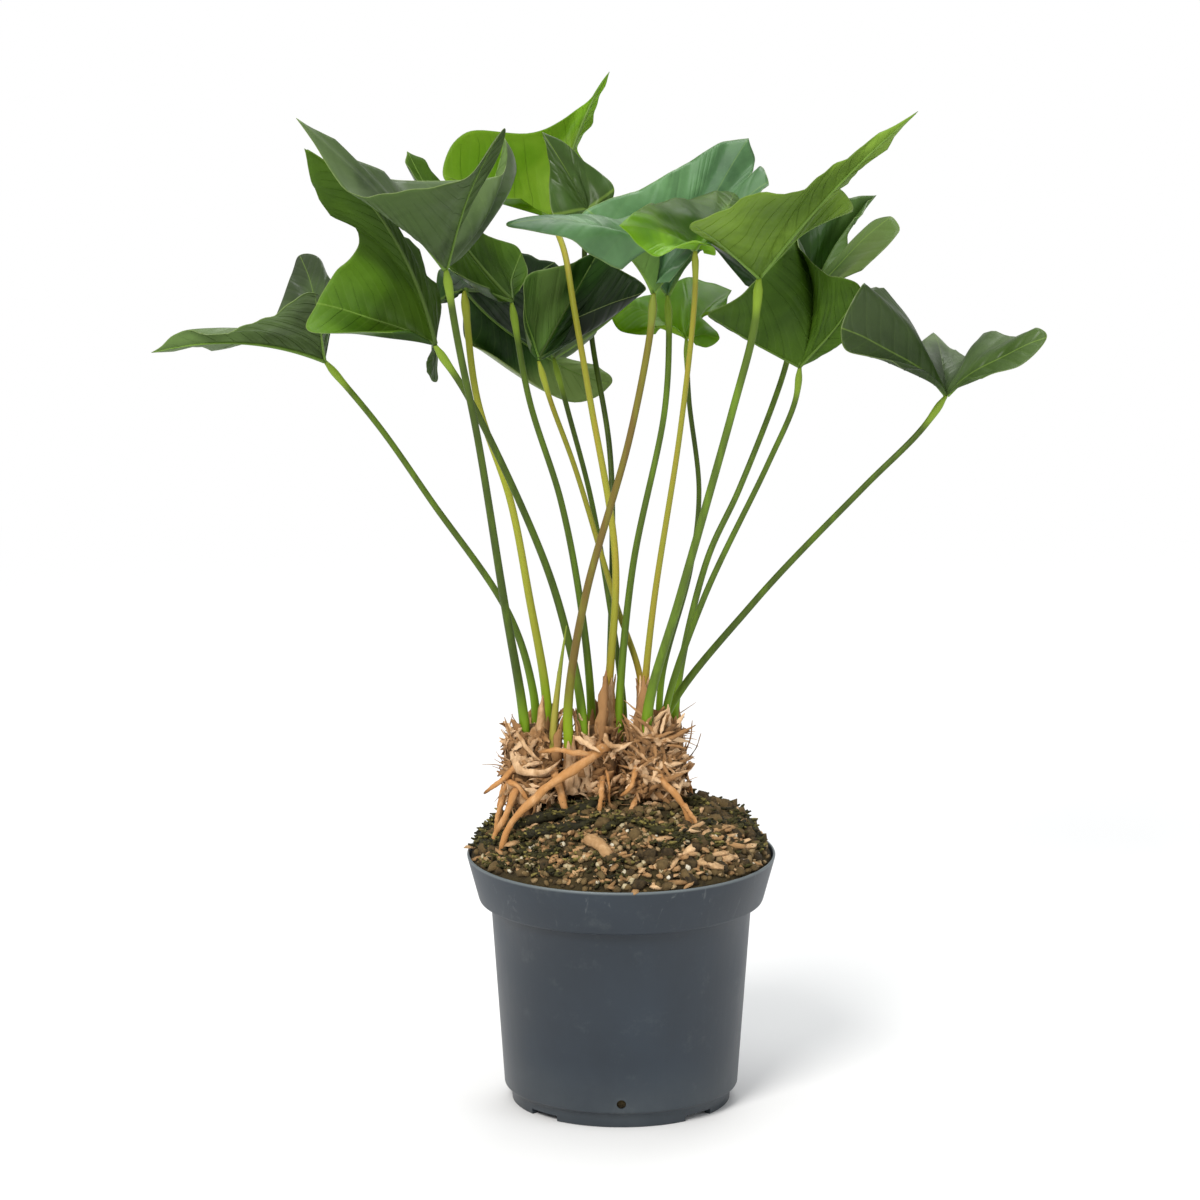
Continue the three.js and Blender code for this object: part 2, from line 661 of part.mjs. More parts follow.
// A leaf stalk: flared at its foot, slim above, swollen just under the blade
function stalkSolid(leaf, grow) {
  const radius = stalkRadius[leaf.name];
  const radiusAt = (share) => {
    const taper = 1 + (petioleTaper - 1) * smooth(share * 1.3);
    const flare = (baseFlare - 1) * bell(share, 0.16);
    const swelling = (jointSwelling - 1) * bell(share - 0.965, 0.028);
    const end = share > 0.995 ? stalkEndShare : 1;
    return radius * (taper + flare + swelling) * end + grow;
  };
  const heart = vec(leaf.junction);
  const approach = unit(heart.clone().sub(vec(leaf.stalk.at(-1))));
  const top = heart.addScaledVector(approach, -(leaf.stalkEnd ?? stalkEnd)).toArray();
  return toSolid(tube([...leaf.stalk, top], petioleSteps, petioleSides, radiusAt));
}

// Half of a blade as a surface: rays run from the heart to a smooth margin through its landmarks
function bladeHalf(leaf, side) {
  const heart = vec(leaf.junction);
  const margin = [leaf.tip, ...(side > 0 ? leaf.left : leaf.right)].map(vec);
  const tip = margin[0].clone().sub(heart);
  const lobe = margin[lobeLandmark].clone().sub(heart);
  const up = tip.clone().cross(lobe).normalize().multiplyScalar(side);
  const otherLobe = vec((side > 0 ? leaf.right : leaf.left)[lobeLandmark - 1]).sub(heart);
  const otherUp = tip.clone().cross(otherLobe).normalize().multiplyScalar(-side);
  const spineUp = up.clone().add(otherUp).normalize();
  const bow = (middle, end, natural) => {
    if (!middle) return natural;
    return vec(middle).sub(heart).addScaledVector(end, -0.5);
  };
  const lobeMid = side > 0 ? leaf.leftMid : leaf.rightMid;
  return {
    heart, margin, up, side,
    tipBow: bow(leaf.tipMid, tip, spineUp.multiplyScalar(tipArch * tip.length())),
    lobeBow: bow(lobeMid, lobe, up.clone().multiplyScalar(lobeArch * lobe.length())),
    ripple: leaf.ripple ?? { ...naturalRipple, phase: Number(leaf.name) * naturalRipple.phase },
  };
}

// A field of unit vectors, each turned towards its neighbours in the columns beside it
function eased(field) {
  return field.map((column, i) => column.map((normal, j) => {
    const before = field[clamp(i - 1, field.length - 1)][j];
    const after = field[clamp(i + 1, field.length - 1)][j];
    return unit(normal.clone().multiplyScalar(2).add(before).add(after));
  }));
}

function marginPoint(half, place) {
  const last = half.margin.length - 1;
  const from = Math.min(last - 1, Math.floor(place));
  const t = place - from;
  const [b, c] = [half.margin[from], half.margin[from + 1]];
  const a = half.margin[from - 1] ?? b.clone().multiplyScalar(2).sub(c);
  const d = half.margin[from + 2] ?? c.clone().multiplyScalar(2).sub(b);
  const point = b.clone().multiplyScalar(1 - 2.5 * t * t + 1.5 * t ** 3);
  point.addScaledVector(a, -0.5 * t + t * t - 0.5 * t ** 3);
  point.addScaledVector(c, 0.5 * t + 2 * t * t - 1.5 * t ** 3);
  return point.addScaledVector(d, -0.5 * t * t + 0.5 * t ** 3);
}

function bladePoint(half, place, share) {
  const margin = marginPoint(half, place);
  const ray = margin.clone().sub(half.heart);
  const angle = interpolate(landmarkAngles.map((a, i) => [i, a]), place);
  const tipWeight = Math.cos((Math.min(1, angle / landmarkAngles[lobeLandmark]) * Math.PI) / 2) ** 2;
  const arch = 4 * share * (1 - share);
  const fromTip = margin.distanceTo(half.margin[0]);
  const { height, length, phase } = half.ripple;
  const wave = height * Math.sin((2 * Math.PI * fromTip) / length + phase + half.side * 0.9);
  const point = half.heart.clone().addScaledVector(ray, share);
  point.addScaledVector(half.tipBow, tipWeight * arch);
  point.addScaledVector(half.lobeBow, (1 - tipWeight) * arch);
  return point.addScaledVector(half.up, share ** 3 * (1 - bell(angle, 12)) * wave);
}

// A whole blade: both halves as one thin closed body, with ribs raised on its underside
function bladeSolid(leaf, grow) {
  const halves = { 1: bladeHalf(leaf, 1), "-1": bladeHalf(leaf, -1) };
  const places = [...columnPlaces.slice(1).reverse().map((place) => -place), ...columnPlaces];
  const columns = places.length;
  const lastRow = bladeRows.length - 1;
  const middle = places.map((place) => {
    const half = halves[place < 0 ? -1 : 1];
    return bladeRows.map((share) => bladePoint(half, Math.abs(place), share));
  });
  const apex = vec(leaf.junction);
  const near = (i, j) => (j < 0 ? apex : middle[clamp(i, columns - 1)][clamp(j, lastRow)]);
  const across = (from, to) => near(...to).clone().sub(near(...from));
  const outwards = middle.map((column, i) => column.map((_, j) => across([i, j - 1], [i, j + 1])));
  const arounds = middle.map((column, i) => column.map((_, j) => across([i - 1, j], [i + 1, j])));
  const heartOut = sum(outwards.flat());
  const rough = outwards.map((column, i) => column.map((out, j) => unit(out.clone().cross(arounds[i][j]))));
  const heartNormal = unit(sum(rough.flat()));
  const normals = eased(eased(rough)).map((column) => column.map((normal, j) => {
    const share = Math.min(1, bladeRows[j] / heartShare);
    return unit(heartNormal.clone().lerp(normal, share));
  }));
  const upper = [];
  const lower = [];
  for (let i = 0; i < columns; i += 1) {
    for (let j = 0; j <= lastRow; j += 1) {
      const share = bladeRows[j];
      const thick = heartThickness + (marginThickness - heartThickness) * share;
      const onRib = places[i] === 0 || Math.abs(places[i]) === lobeLandmark;
      const rib = onRib ? ribHeight * (1.1 - share) : 0;
      const point = middle[i][j].clone();
      if (j === lastRow) point.addScaledVector(unit(outwards[i][j]), grow);
      if (i === 0) point.addScaledVector(unit(arounds[i][j]), -grow);
      if (i === columns - 1) point.addScaledVector(unit(arounds[i][j]), grow);
      upper.push(point.clone().addScaledVector(normals[i][j], thick / 2 + grow).toArray());
      lower.push(point.clone().addScaledVector(normals[i][j], -thick / 2 - rib - grow).toArray());
    }
  }
  apex.addScaledVector(unit(heartOut), -1.4 * grow);
  const topHeart = apex.clone().addScaledVector(heartNormal, heartThickness / 2 + grow);
  const lowHeart = apex.clone().addScaledVector(heartNormal, -heartThickness / 2 - grow);
  const points = [...upper, ...lower, topHeart.toArray(), lowHeart.toArray()];
  return toSolid(fromTriangles(points, bladeTriangles(columns, bladeRows.length)));
}

function bladeTriangles(columns, rows) {
  const count = columns * rows;
  const top = (i, j) => (j < 0 ? 2 * count : i * rows + j);
  const low = (i, j) => (j < 0 ? 2 * count + 1 : count + i * rows + j);
  const triangles = [];
  const quad = (a, b, c, d) => triangles.push(a, b, c, a, c, d);
  for (let i = 0; i < columns - 1; i += 1) {
    triangles.push(top(i, -1), top(i, 0), top(i + 1, 0));
    triangles.push(low(i, -1), low(i + 1, 0), low(i, 0));
    for (let j = 0; j < rows - 1; j += 1) {
      triangles.push(top(i, j), top(i, j + 1), top(i + 1, j + 1));
      triangles.push(top(i, j), top(i + 1, j + 1), top(i + 1, j));
      triangles.push(low(i, j), low(i + 1, j + 1), low(i, j + 1));
      triangles.push(low(i, j), low(i + 1, j), low(i + 1, j + 1));
    }
    quad(top(i, rows - 1), low(i, rows - 1), low(i + 1, rows - 1), top(i + 1, rows - 1));
  }
  for (let j = -1; j < rows - 1; j += 1) {
    quad(top(0, j), low(0, j), low(0, j + 1), top(0, j + 1));
    quad(low(columns - 1, j), top(columns - 1, j), top(columns - 1, j + 1), low(columns - 1, j + 1));
  }
  return triangles;
}

// The whole plant: one named mesh for each piece
const plant = new THREE.Group();

function addPiece(name, solid, finish) {
  const { colour: color, roughness } = finish;
  const material = new THREE.MeshStandardMaterial({ color, roughness, metalness: 0 });
  const mesh = new THREE.Mesh(toGeometry(solid), material);
  mesh.name = name;
  plant.add(mesh);
}

const grownStalks = leaves.map((leaf) => stalkSolid(leaf, clearance));
const grownShoot = shootSolid(clearance);
const grownCrowns = crowns.map((crown) => crownSolid(crown, clearance));

addPiece("pot", potSolid(), finishes.pot);
const soil = cut(join([soilPlug(), ...soilPieces()]), grownCrowns);
addPiece("soil", largestBody(soil), finishes.soil);
crowns.forEach((crown, i) => {
  const neighbours = [...grownCrowns.slice(0, i), ...grownStalks, grownShoot];
  addPiece(`crown_${crown.name}`, largestBody(cut(crownSolid(crown, 0), neighbours)), finishes.crown);
});
addPiece("young_shoot", shootSolid(0), finishes.shoot);
for (const leaf of leaves) {
  const stalk = largestBody(cut(stalkSolid(leaf, 0), [bladeSolid(leaf, stalkGap)]));
  addPiece(`stalk_${leaf.name}`, stalk, finishes.stalk);
  addPiece(`blade_${leaf.name}`, bladeSolid(leaf, 0), { colour: greens[leaf.tone], roughness: 0.38 });
}

export default plant;
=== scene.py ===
import math

import bpy
import numpy as np
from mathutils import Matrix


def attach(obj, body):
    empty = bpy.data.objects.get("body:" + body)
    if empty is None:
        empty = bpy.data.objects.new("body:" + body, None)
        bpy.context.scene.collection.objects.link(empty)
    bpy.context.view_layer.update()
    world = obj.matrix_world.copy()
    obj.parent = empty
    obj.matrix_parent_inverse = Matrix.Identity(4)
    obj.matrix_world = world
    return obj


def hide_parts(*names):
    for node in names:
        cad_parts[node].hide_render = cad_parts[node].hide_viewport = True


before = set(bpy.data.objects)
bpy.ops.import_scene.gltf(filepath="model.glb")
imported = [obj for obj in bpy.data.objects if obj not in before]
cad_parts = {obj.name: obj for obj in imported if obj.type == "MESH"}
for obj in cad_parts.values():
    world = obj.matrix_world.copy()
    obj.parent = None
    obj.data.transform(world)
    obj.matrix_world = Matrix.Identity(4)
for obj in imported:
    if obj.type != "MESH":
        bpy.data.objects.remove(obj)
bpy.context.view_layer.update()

# Lengths are in millimetres up to the last step, which turns each mesh into metres
MM = 0.001

# The pot
POT_HEIGHT = 173
RIM_RADIUS = 105
BAND_FOOT = (97.2, 142.6)
BODY_TOP = (88.9, 140.4)
BODY_FOOT = (79.8, 12)
FOOT_RADIUS = 74.5
FOOT_RING_WIDTH = 5
WALL = 1.6
INNER_BAND_FOOT = (95.6, 143.4)
INNER_SHOULDER = (88.4, 142.6)
INNER_BODY_TOP = (87.3, 141)
INNER_BODY_FOOT = (78.1, 15)
INNER_STEP = (73.4, 9)
INNER_BASE = (72.9, 5)
BASE_RECESS = 3
BASE_TOP = 5
REST_DISC_RADIUS = 24
POT_SEGMENTS = 192
WALL_HOLES = {"count": 4, "radius": 3.2, "z": 18}
BASE_HOLES = {"count": 8, "radius": 4.5, "ring": 48}
FOOT_NOTCHES = {"count": 4, "width": 24, "height": 4}

# The soil
SOIL_EDGE_Z = 169
SOIL_HEAP = 42
SOIL_BUMP = 2.6
SOIL_GAP = 0.3
SOIL_SEGMENTS = 160
SOIL_RINGS = 40
SOIL_ROUGHNESS = 1.6

# The leaves. The light and shade painted on each blade, as a factor on its tone: at the tip, on its left and
# right half, and on its left and right lobe
LEAF_PAINTED_LIGHT = {
    "01": (2.0, 1.9, 1.5, 2.0, 0.5), "02": (0.8, 0.45, 0.55, 0.65, 1.8), "03": (1.8, 0.95, 1.1, 0.8, 1.9),
    "04": (0.6, 0.8, 0.8, 6.0, 0.9), "05": (0.9, 0.55, 0.7, 0.8, 0.7), "06": (1.8, 0.85, 0.8, 0.9, 0.8),
    "07": (2.2, 2.3, 2.3, 2.3, 2.2), "08": (0.6, 0.4, 3.2, 0.35, 2.8), "09": (1.0, 1.7, 1.9, 1.7, 1.7),
    "10": (1.1, 1.6, 1.2, 1.0, 1.2), "11": (1.3, 2.4, 0.45, 2.2, 0.45), "12": (1.0, 1.1, 1.1, 1.1, 1.1),
    "13": (0.9, 1.5, 1.1, 1.5, 0.9), "14": (2.2, 1.7, 1.8, 1.8, 1.9), "15": (2.4, 1.5, 2.6, 1.2, 3.4),
    "16": (0.75, 0.85, 0.75, 1.0, 0.8), "17": (2.2, 0.85, 1.4, 0.7, 1.6),
}
OWN_TONES = {"14": "olive", "17": "dusky_painted_sheen"}
LANDMARK_ANGLES = [0, 20, 52, 84, 100, 117, 129]
LANDMARKS = range(len(LANDMARK_ANGLES))
LOBE = 4
WAIST_ANGLE = 50
BLADE_COLUMNS = 61
BLADE_ROWS = 28
MARGIN_THICKNESS = 0.6
HEART_THICKNESS = 1.5
RIPPLE = {"height": 2.4, "length": 46, "phase": 1.7}
CRIMP = {"height": 0.7, "length": 17}
SWELL = 1.3
TIP_ARCH = 0.05
LOBE_ARCH = 0.06
RIB_STEPS = 40
RIB_PAINTED_LIGHT_LIMIT = 1.1
UNDER_PAINT = 1
RIB_PAINT = 2
VEIN_SPACING = 13
VEIN_SLOPE = 0.75
TAPER = 0.8
BASE_FLARE = 1.25
JOINT_SWELLING = 1.22
JOINT_CENTRE = 10
JOINT_LENGTH = 8

# Each leaf: where its stalk meets the blade, then its margin on the left and right, seen from above
# with the tip forward: beside the tip, at the waist, the shoulder, the lobe's end, its back and the sinus
LEAVES = [
    {"name": "01", "tone": "grey", "junction": [-200, 20, 510], "tip": [-313, -30, 525],
     "tip_mid": [-254, -20, 530], "ripple": (3.5, 52, 4.4),
     "left": [[-288, -38, 540], [-245, -46, 545], [-219, -54, 566],
              [-203, -42, 565], [-196, -12, 549], [-198, 8, 528]],
     "right": [[-278, 8, 521], [-243, 50, 520], [-225, 96, 555],
               [-219, 108, 568], [-204, 88, 569], [-195, 56, 552]],
     "stalk": [[-57, 14, 236], [-60, 16, 282], [-76, 20, 334], [-129, 20, 414], [-163, 20, 464]]},
    {"name": "02", "tone": "mid", "junction": [-124, -50, 534], "tip": [-206, -120, 677],
     "tip_mid": [-155, -80, 619],
     "left": [[-184, -84, 653], [-142, -34, 602], [-123, 2, 557],
              [-122, -2, 521], [-126, 0, 498], [-128, -26, 516]],
     "right": [[-198, -96, 639], [-173, -62, 608], [-190, -45, 581],
               [-202, -52, 561], [-205, -80, 547], [-151, -72, 548]],
     "stalk": [[-25, -13, 230], [-27, -10, 276], [-34, -5, 314], [-51, -15, 377], [-101, -40, 495]]},
    {"name": "03", "tone": "grey", "junction": [-115, -110, 596], "tip": [-207, -210, 711],
     "tip_mid": [-151, -165, 649], "ripple": (8, 75, 5.8),
     "left": [[-177, -205, 669], [-139, -200, 657], [-102, -178, 671],
              [-78, -172, 702], [-78, -152, 681], [-93, -128, 645]],
     "right": [[-175, -160, 681], [-147, -98, 653], [-82, -70, 652],
               [-72, -46, 672], [-66, -34, 647], [-82, -50, 627]],
     "stalk": [[-64, -9, 230], [-66, -14, 270], [-79, -50, 363], [-95, -80, 476], [-108, -98, 548]]},
    {"name": "04", "tone": "deep", "junction": [-106, 20, 558], "tip": [-46, 160, 552],
     "left_mid": [-61, 76, 506],
     "left": [[-21, 180, 522], [-41, 132, 489], [-14, 114, 488],
              [-6, 106, 477], [-38, 78, 469], [-97, 42, 516]],
     "right": [[-69, 130, 562], [-103, 90, 565], [-123, 55, 562],
               [-124, 25, 552], [-122, 5, 550], [-114, 8, 556]],
     "stalk": [[-50, 2, 236], [-51, 2, 282], [-62, 2, 349], [-75, 10, 416], [-97, 15, 484]]},
    {"name": "05", "tone": "mid", "junction": [-74, 20, 550], "tip": [-144, 40, 649],
     "left": [[-127, 56, 634], [-93, 54, 594], [-79, 64, 583],
              [-69, 62, 575], [-63, 46, 566], [-68, 28, 557]],
     "right": [[-142, 22, 637], [-117, 4, 610], [-114, -10, 596],
               [-113, -18, 583], [-106, -22, 575], [-89, -10, 564]],
     "stalk": [[-20, 12, 236], [-21, 14, 282], [-28, 15, 346], [-41, 10, 416], [-62, 10, 485]]},
    {"name": "06", "tone": "bright", "junction": [-48, 110, 592], "tip": [-8, 132, 689],
     "tip_mid": [-28, 128, 652],
     "left": [[-16, 140, 663], [-28, 154, 638], [-23, 164, 617],
              [-16, 162, 606], [-23, 150, 597], [-36, 130, 592]],
     "right": [[-25, 130, 667], [-60, 120, 649], [-106, 108, 651],
               [-121, 98, 623], [-99, 92, 610], [-69, 98, 607]],
     "stalk": [[-11, 0, 236], [-9, 2, 282], [-4, 8, 375], [-21, 12, 484], [-32, 22, 546], [-38, 54, 576]]},
    {"name": "07", "tone": "deep", "junction": [-23, 84, 602], "tip": [-54, 98, 653],
     "left": [[-51, 94, 641], [-48, 88, 627], [-49, 82, 614],
              [-47, 76, 599], [-38, 74, 594], [-29, 78, 597]],
     "right": [[-40, 100, 646], [-28, 98, 635], [-12, 96, 624],
               [-5, 92, 614], [-9, 88, 603], [-16, 85, 600]],
     "stalk": [[-9, 24, 236], [-8, 32, 282], [-6, 46, 380], [-8, 70, 440], [-20, 98, 510], [-25, 98, 566]]},
    {"name": "08", "tone": "deep", "junction": [-56, 30, 508], "tip": [-14, 74, 577],
     "left": [[-6, 62, 570], [-2, 58, 565], [10, 50, 561], [15, 40, 555], [-6, 30, 548], [-31, 32, 535]],
     "right": [[-31, 62, 570], [-50, 52, 567], [-63, 38, 564],
               [-67, 28, 550], [-66, 22, 534], [-61, 24, 520]],
     "stalk": [[14, 14, 236], [13, 16, 290], [-3, 16, 341], [-31, 25, 434], [-48, 28, 481]]},
    {"name": "09", "tone": "grey", "junction": [-46, 60, 504], "tip": [14, 96, 544],
     "left": [[-4, 92, 549], [-21, 82, 548], [-38, 76, 551],
              [-49, 73, 547], [-57, 67, 537], [-54, 60, 520]],
     "right": [[-6, 94, 535], [-16, 92, 523], [-21, 88, 514],
               [-28, 87, 507], [-35, 86, 504], [-42, 80, 504]],
     "stalk": [[2, 18, 232], [1, 18, 276], [-9, 25, 347], [-21, 42, 412], [-36, 52, 468]]},
    {"name": "10", "tone": "blue", "junction": [21, -60, 571], "tip": [29, 34, 602],
     "left_mid": [-16, -80, 617],
     "left": [[18, 4, 611], [0, -30, 615], [-49, -64, 621],
              [-76, -96, 622], [-34, -102, 612], [0, -84, 591]],
     "right": [[40, 10, 606], [47, -14, 606], [54, -38, 606],
               [50, -55, 605], [42, -64, 595], [30, -65, 580]],
     "stalk": [[-34, -14, 232], [-36, -24, 280], [-24, -46, 363], [5, -58, 472], [19, -60, 546]]},
    {"name": "11", "tone": "bright", "junction": [48, -80, 604], "tip": [-2, -140, 630],
     "left": [[11, -142, 617], [24, -138, 612], [40, -122, 613],
              [58, -112, 613], [61, -97, 605], [54, -86, 604]],
     "right": [[9, -104, 633], [22, -60, 631], [47, -15, 627],
               [77, 24, 625], [79, -4, 615], [66, -50, 607]],
     "stalk": [[14, -4, 236], [16, -4, 290], [22, -10, 351], [39, -40, 474], [48, -68, 570]]},
    {"name": "12", "tone": "bright", "junction": [44, 60, 518], "tip": [76, 122, 539],
     "left": [[54, 126, 547], [36, 128, 542], [8, 145, 530], [-7, 152, 523], [0, 108, 511], [23, 80, 518]],
     "right": [[69, 92, 533], [55, 72, 529], [62, 50, 528], [66, 36, 522], [58, 44, 515], [50, 52, 516]],
     "stalk": [[25, 22, 236], [28, 28, 290], [47, 44, 360], [53, 54, 412], [46, 58, 476]]},
    {"name": "13", "tone": "blue", "junction": [31, 30, 553], "tip": [87, 120, 645],
     "left": [[69, 115, 643], [45, 92, 633], [13, 62, 620], [-23, 40, 610], [-20, 24, 602], [9, 22, 577]],
     "right": [[90, 108, 632], [87, 82, 616], [95, 80, 631], [98, 64, 626], [91, 44, 617], [56, 30, 586]],
     "stalk": [[-2, 0, 236], [-1, 2, 282], [8, 8, 372], [29, 18, 475], [32, 26, 525]]},
    {"name": "14", "tone": "mid", "junction": [90, -80, 585], "tip": [191, -125, 702],
     "tip_mid": [138, -112, 650],
     "left": [[163, -98, 666], [144, -70, 645], [149, -40, 632],
              [152, -26, 622], [144, -16, 613], [115, -40, 601]],
     "right": [[145, -125, 673], [121, -134, 655], [76, -160, 650],
               [46, -150, 631], [52, -118, 617], [72, -90, 600]],
     "stalk": [[17, -20, 232], [18, -28, 280], [39, -55, 364], [73, -74, 494], [87, -80, 552]]},
    {"name": "15", "tone": "deep", "junction": [119, 90, 521], "tip": [178, 200, 592],
     "left": [[155, 170, 594], [116, 125, 576], [78, 98, 572],
              [55, 76, 584], [64, 57, 577], [84, 60, 554]],
     "right": [[164, 155, 586], [148, 105, 558], [168, 98, 585],
               [184, 82, 597], [184, 62, 586], [163, 60, 564]],
     "stalk": [[36, 8, 236], [38, 10, 284], [58, 20, 372], [80, 36, 418], [110, 76, 488]]},
    {"name": "16", "tone": "mid", "junction": [119, -20, 514], "tip": [115, -14, 604],
     "tip_mid": [127, -24, 564],
     "left": [[121, -40, 592], [134, -50, 582], [148, -54, 580],
              [159, -50, 572], [160, -38, 547], [142, -26, 528]],
     "right": [[108, -42, 596], [89, -58, 579], [71, -60, 565],
               [57, -52, 555], [67, -34, 545], [98, -22, 527]],
     "stalk": [[28, -12, 232], [30, -16, 276], [55, -16, 353], [98, -8, 444], [116, -12, 488]]},
    {"name": "17", "tone": "grey", "junction": [217, -20, 494], "tip": [215, 125, 509],
     "ripple": (4, 60, 3.1),
     "left": [[195, 44, 517], [172, -20, 564], [158, -62, 576],
              [142, -78, 548], [150, -92, 535], [187, -72, 523]],
     "right": [[233, 60, 505], [248, 18, 527], [274, -28, 538],
               [283, -42, 536], [265, -48, 517], [241, -42, 507]],
     "stalk": [[26, 2, 230], [30, -2, 268], [89, -12, 350], [162, -20, 431], [200, -20, 470]]},
]

STALK_RADIUS = {
    "01": 2.6, "02": 2.9, "03": 3.0, "04": 2.9, "05": 2.6, "06": 2.6, "07": 2.3, "08": 2.2, "09": 2.2,
    "10": 2.9, "11": 2.3, "12": 2.1, "13": 2.6, "14": 3.2, "15": 2.5, "16": 2.4, "17": 2.6,
}
STALK_COLOURS = {"04": "yellow", "06": "yellow", "11": "yellow", "10": "brown"}
STALK_LIGHT = {
    "01": 1.3, "02": 1, "03": 1, "04": 1.1, "05": 1.3, "06": 1.1, "07": 0.9, "08": 0.85, "09": 1.1,
    "10": 1.3, "11": 1, "12": 0.9, "13": 1.6, "14": 1.7, "15": 1.5, "16": 1.4, "17": 1.1,
}
AMBER_FEET = ("06", "08", "11")
STALK_STEPS = 90
STALK_SIDES = 18
SHOOT = {"route": [[-47, -13, 236], [-46, -15, 262], [-42, -18, 300], [-37, -20, 336]], "radius": 2.6}

# The crowns, and each aerial root's radius and route. A route whose last point has no height ends in the soil
CROWNS = [
    {"name": "left", "x": -60, "y": -1, "rx": 20, "ry": 21, "top": 262, "turn": 0.4},
    {"name": "middle", "x": -17, "y": 4, "rx": 18, "ry": 23, "top": 260, "turn": 1.3},
    {"name": "right", "x": 24, "y": 0, "rx": 20, "ry": 24, "top": 264, "turn": 2.1},
]
CROWN_FOOT_Z = 182
ROOT_DEPTH = 6
ROOTS = {
    "left": [
        (1.9, [[-68, -10, 244], [-77, -20, 232], [-85, -22, 226], [-93, -23, 220]]),
        (1.8, [[-68, -10, 234], [-77, -18, 229], [-69, -24, 226], [-61, -26, 214]]),
        (2.4, [[-66, -12, 228], [-73, -22, 219], [-80, -27, 203], [-86, -24, 192], [-88, -23]]),
        (2.8, [[-48, -10, 240], [-46, -21, 232], [-43, -27, 220], [-39, -29, 208], [-38, -30]]),
    ],
    "middle": [
        (3.0, [[-10, -12, 251], [-25, -29, 243], [-52, -37, 227], [-75, -38, 202], [-83, -37]]),
        (1.9, [[-14, -14, 247], [-27, -29, 248], [-41, -32, 251], [-56, -31, 251]]),
        (1.8, [[-13, -10, 232], [-12, -29, 223], [-15, -35, 211], [-15, -37]]),
    ],
    "right": [
        (2.4, [[22, -14, 245], [27, -31, 233], [40, -37, 219], [46, -38, 205], [47, -38]]),
        (1.4, [[42, -37, 216], [50, -39, 207], [54, -40]]),
        (1.8, [[13, -12, 247], [9, -30, 236], [6, -33, 227], [-1, -31, 220]]),
    ],
}

CORE_LEVELS = [0, 0.15, 0.32, 0.5, 0.68, 0.84, 0.95, 1]
CORE_WIDTHS = [0.55, 0.6, 0.72, 0.9, 1.0, 0.92, 0.66, 0.3]
SHARDS = 300
SHARD_THICKNESS = 0.45
SHEATHS_PER_STALK = 6
CROWN_REACH = 22
FIBRES = 150
LOOSE_ROOTS = {"all": 9, "behind": 6}
STRIP_STEPS = 11

# How high the old sheath hides each stalk
SHEATH_TOP = {
    "01": 264, "02": 267, "03": 254, "04": 275, "05": 269, "06": 294, "07": 268, "08": 290, "09": 264,
    "10": 261, "11": 295, "12": 261, "13": 256, "14": 274, "15": 262, "16": 260, "17": 253,
}

# Strips of old sheath that the photo shows: half width, tone, cupping, width of the foot, and route
STRIPS = {
    "left": [
        (4.2, 0.75, 0.8, 1.0, [[-54, -17, 240], [-54, -18, 262], [-53, -17, 276], [-53, -16, 287]]),
        (4.5, 0.5, 0.8, 1.0, [[-42, -16, 238], [-41, -18, 252], [-40, -16, 262], [-39, -14, 272]]),
        (4.5, 0.35, 0.7, 1.0, [[-66, -14, 240], [-67, -17, 254], [-68, -15, 262], [-69, -13, 268]]),
        (3.0, 0.9, 0.4, 0.5,
         [[-75, -17, 248], [-71, -23, 238], [-60, -27, 235], [-48, -26, 237], [-41, -20, 243]]),
        (1.6, 0.8, 0.3, 0.4, [[-71, -18, 262], [-64, -24, 252], [-54, -27, 243]]),
        (1.0, 0.5, 0.2, 1.0, [[-73, -14, 248], [-76, -17, 262], [-79, -18, 272]]),
        (0.9, 0.6, 0.2, 1.0, [[-46, -12, 255], [-45, -13, 280], [-43, -14, 303]]),
    ],
    "middle": [
        (4.6, 0.45, 0.9, 1.2, [[-14, -16, 246], [-13, -17, 262], [-11, -14, 282], [-10, -10, 303]]),
        (2.2, 1.0, 0.4, 0.5, [[-33, -20, 259], [-25, -26, 256], [-14, -28, 250]]),
        (1.2, 0.6, 0.3, 1.0, [[-30, -16, 250], [-30, -20, 262], [-31, -20, 272]]),
        (2.0, 0.8, 0.4, 0.5, [[-11, -23, 262], [-9, -28, 256], [-1, -28, 254], [4, -26, 257]]),
    ],
    "right": [
        (5.6, 0.6, 0.9, 1.0, [[9, -18, 250], [10, -20, 268], [13, -18, 284], [15, -14, 300]]),
        (6.0, 0.8, 0.9, 1.0, [[19, -20, 248], [18, -24, 262], [17, -23, 274], [17, -20, 284]]),
        (6.0, 0.4, 0.8, 1.0, [[34, -17, 240], [36, -19, 254], [37, -17, 264], [37, -14, 272]]),
        (1.6, 0.2, 0.3, 1.0, [[40, -12, 250], [40, -14, 264], [39, -14, 278]]),
        (2.6, 1.0, 0.4, 0.7, [[30, -27, 245], [25, -31, 240], [21, -33, 233]]),
        (0.9, 0.3, 0.2, 1.0, [[44, -8, 246], [47, -10, 256], [48, -11, 268]]),
        (0.8, 0.2, 0.2, 1.0, [[46, -4, 240], [51, -6, 248], [54, -7, 258]]),
        (1.6, 0.9, 0.3, 0.8, [[-6, -24, 250], [1, -29, 254], [8, -29, 258]]),
    ],
}

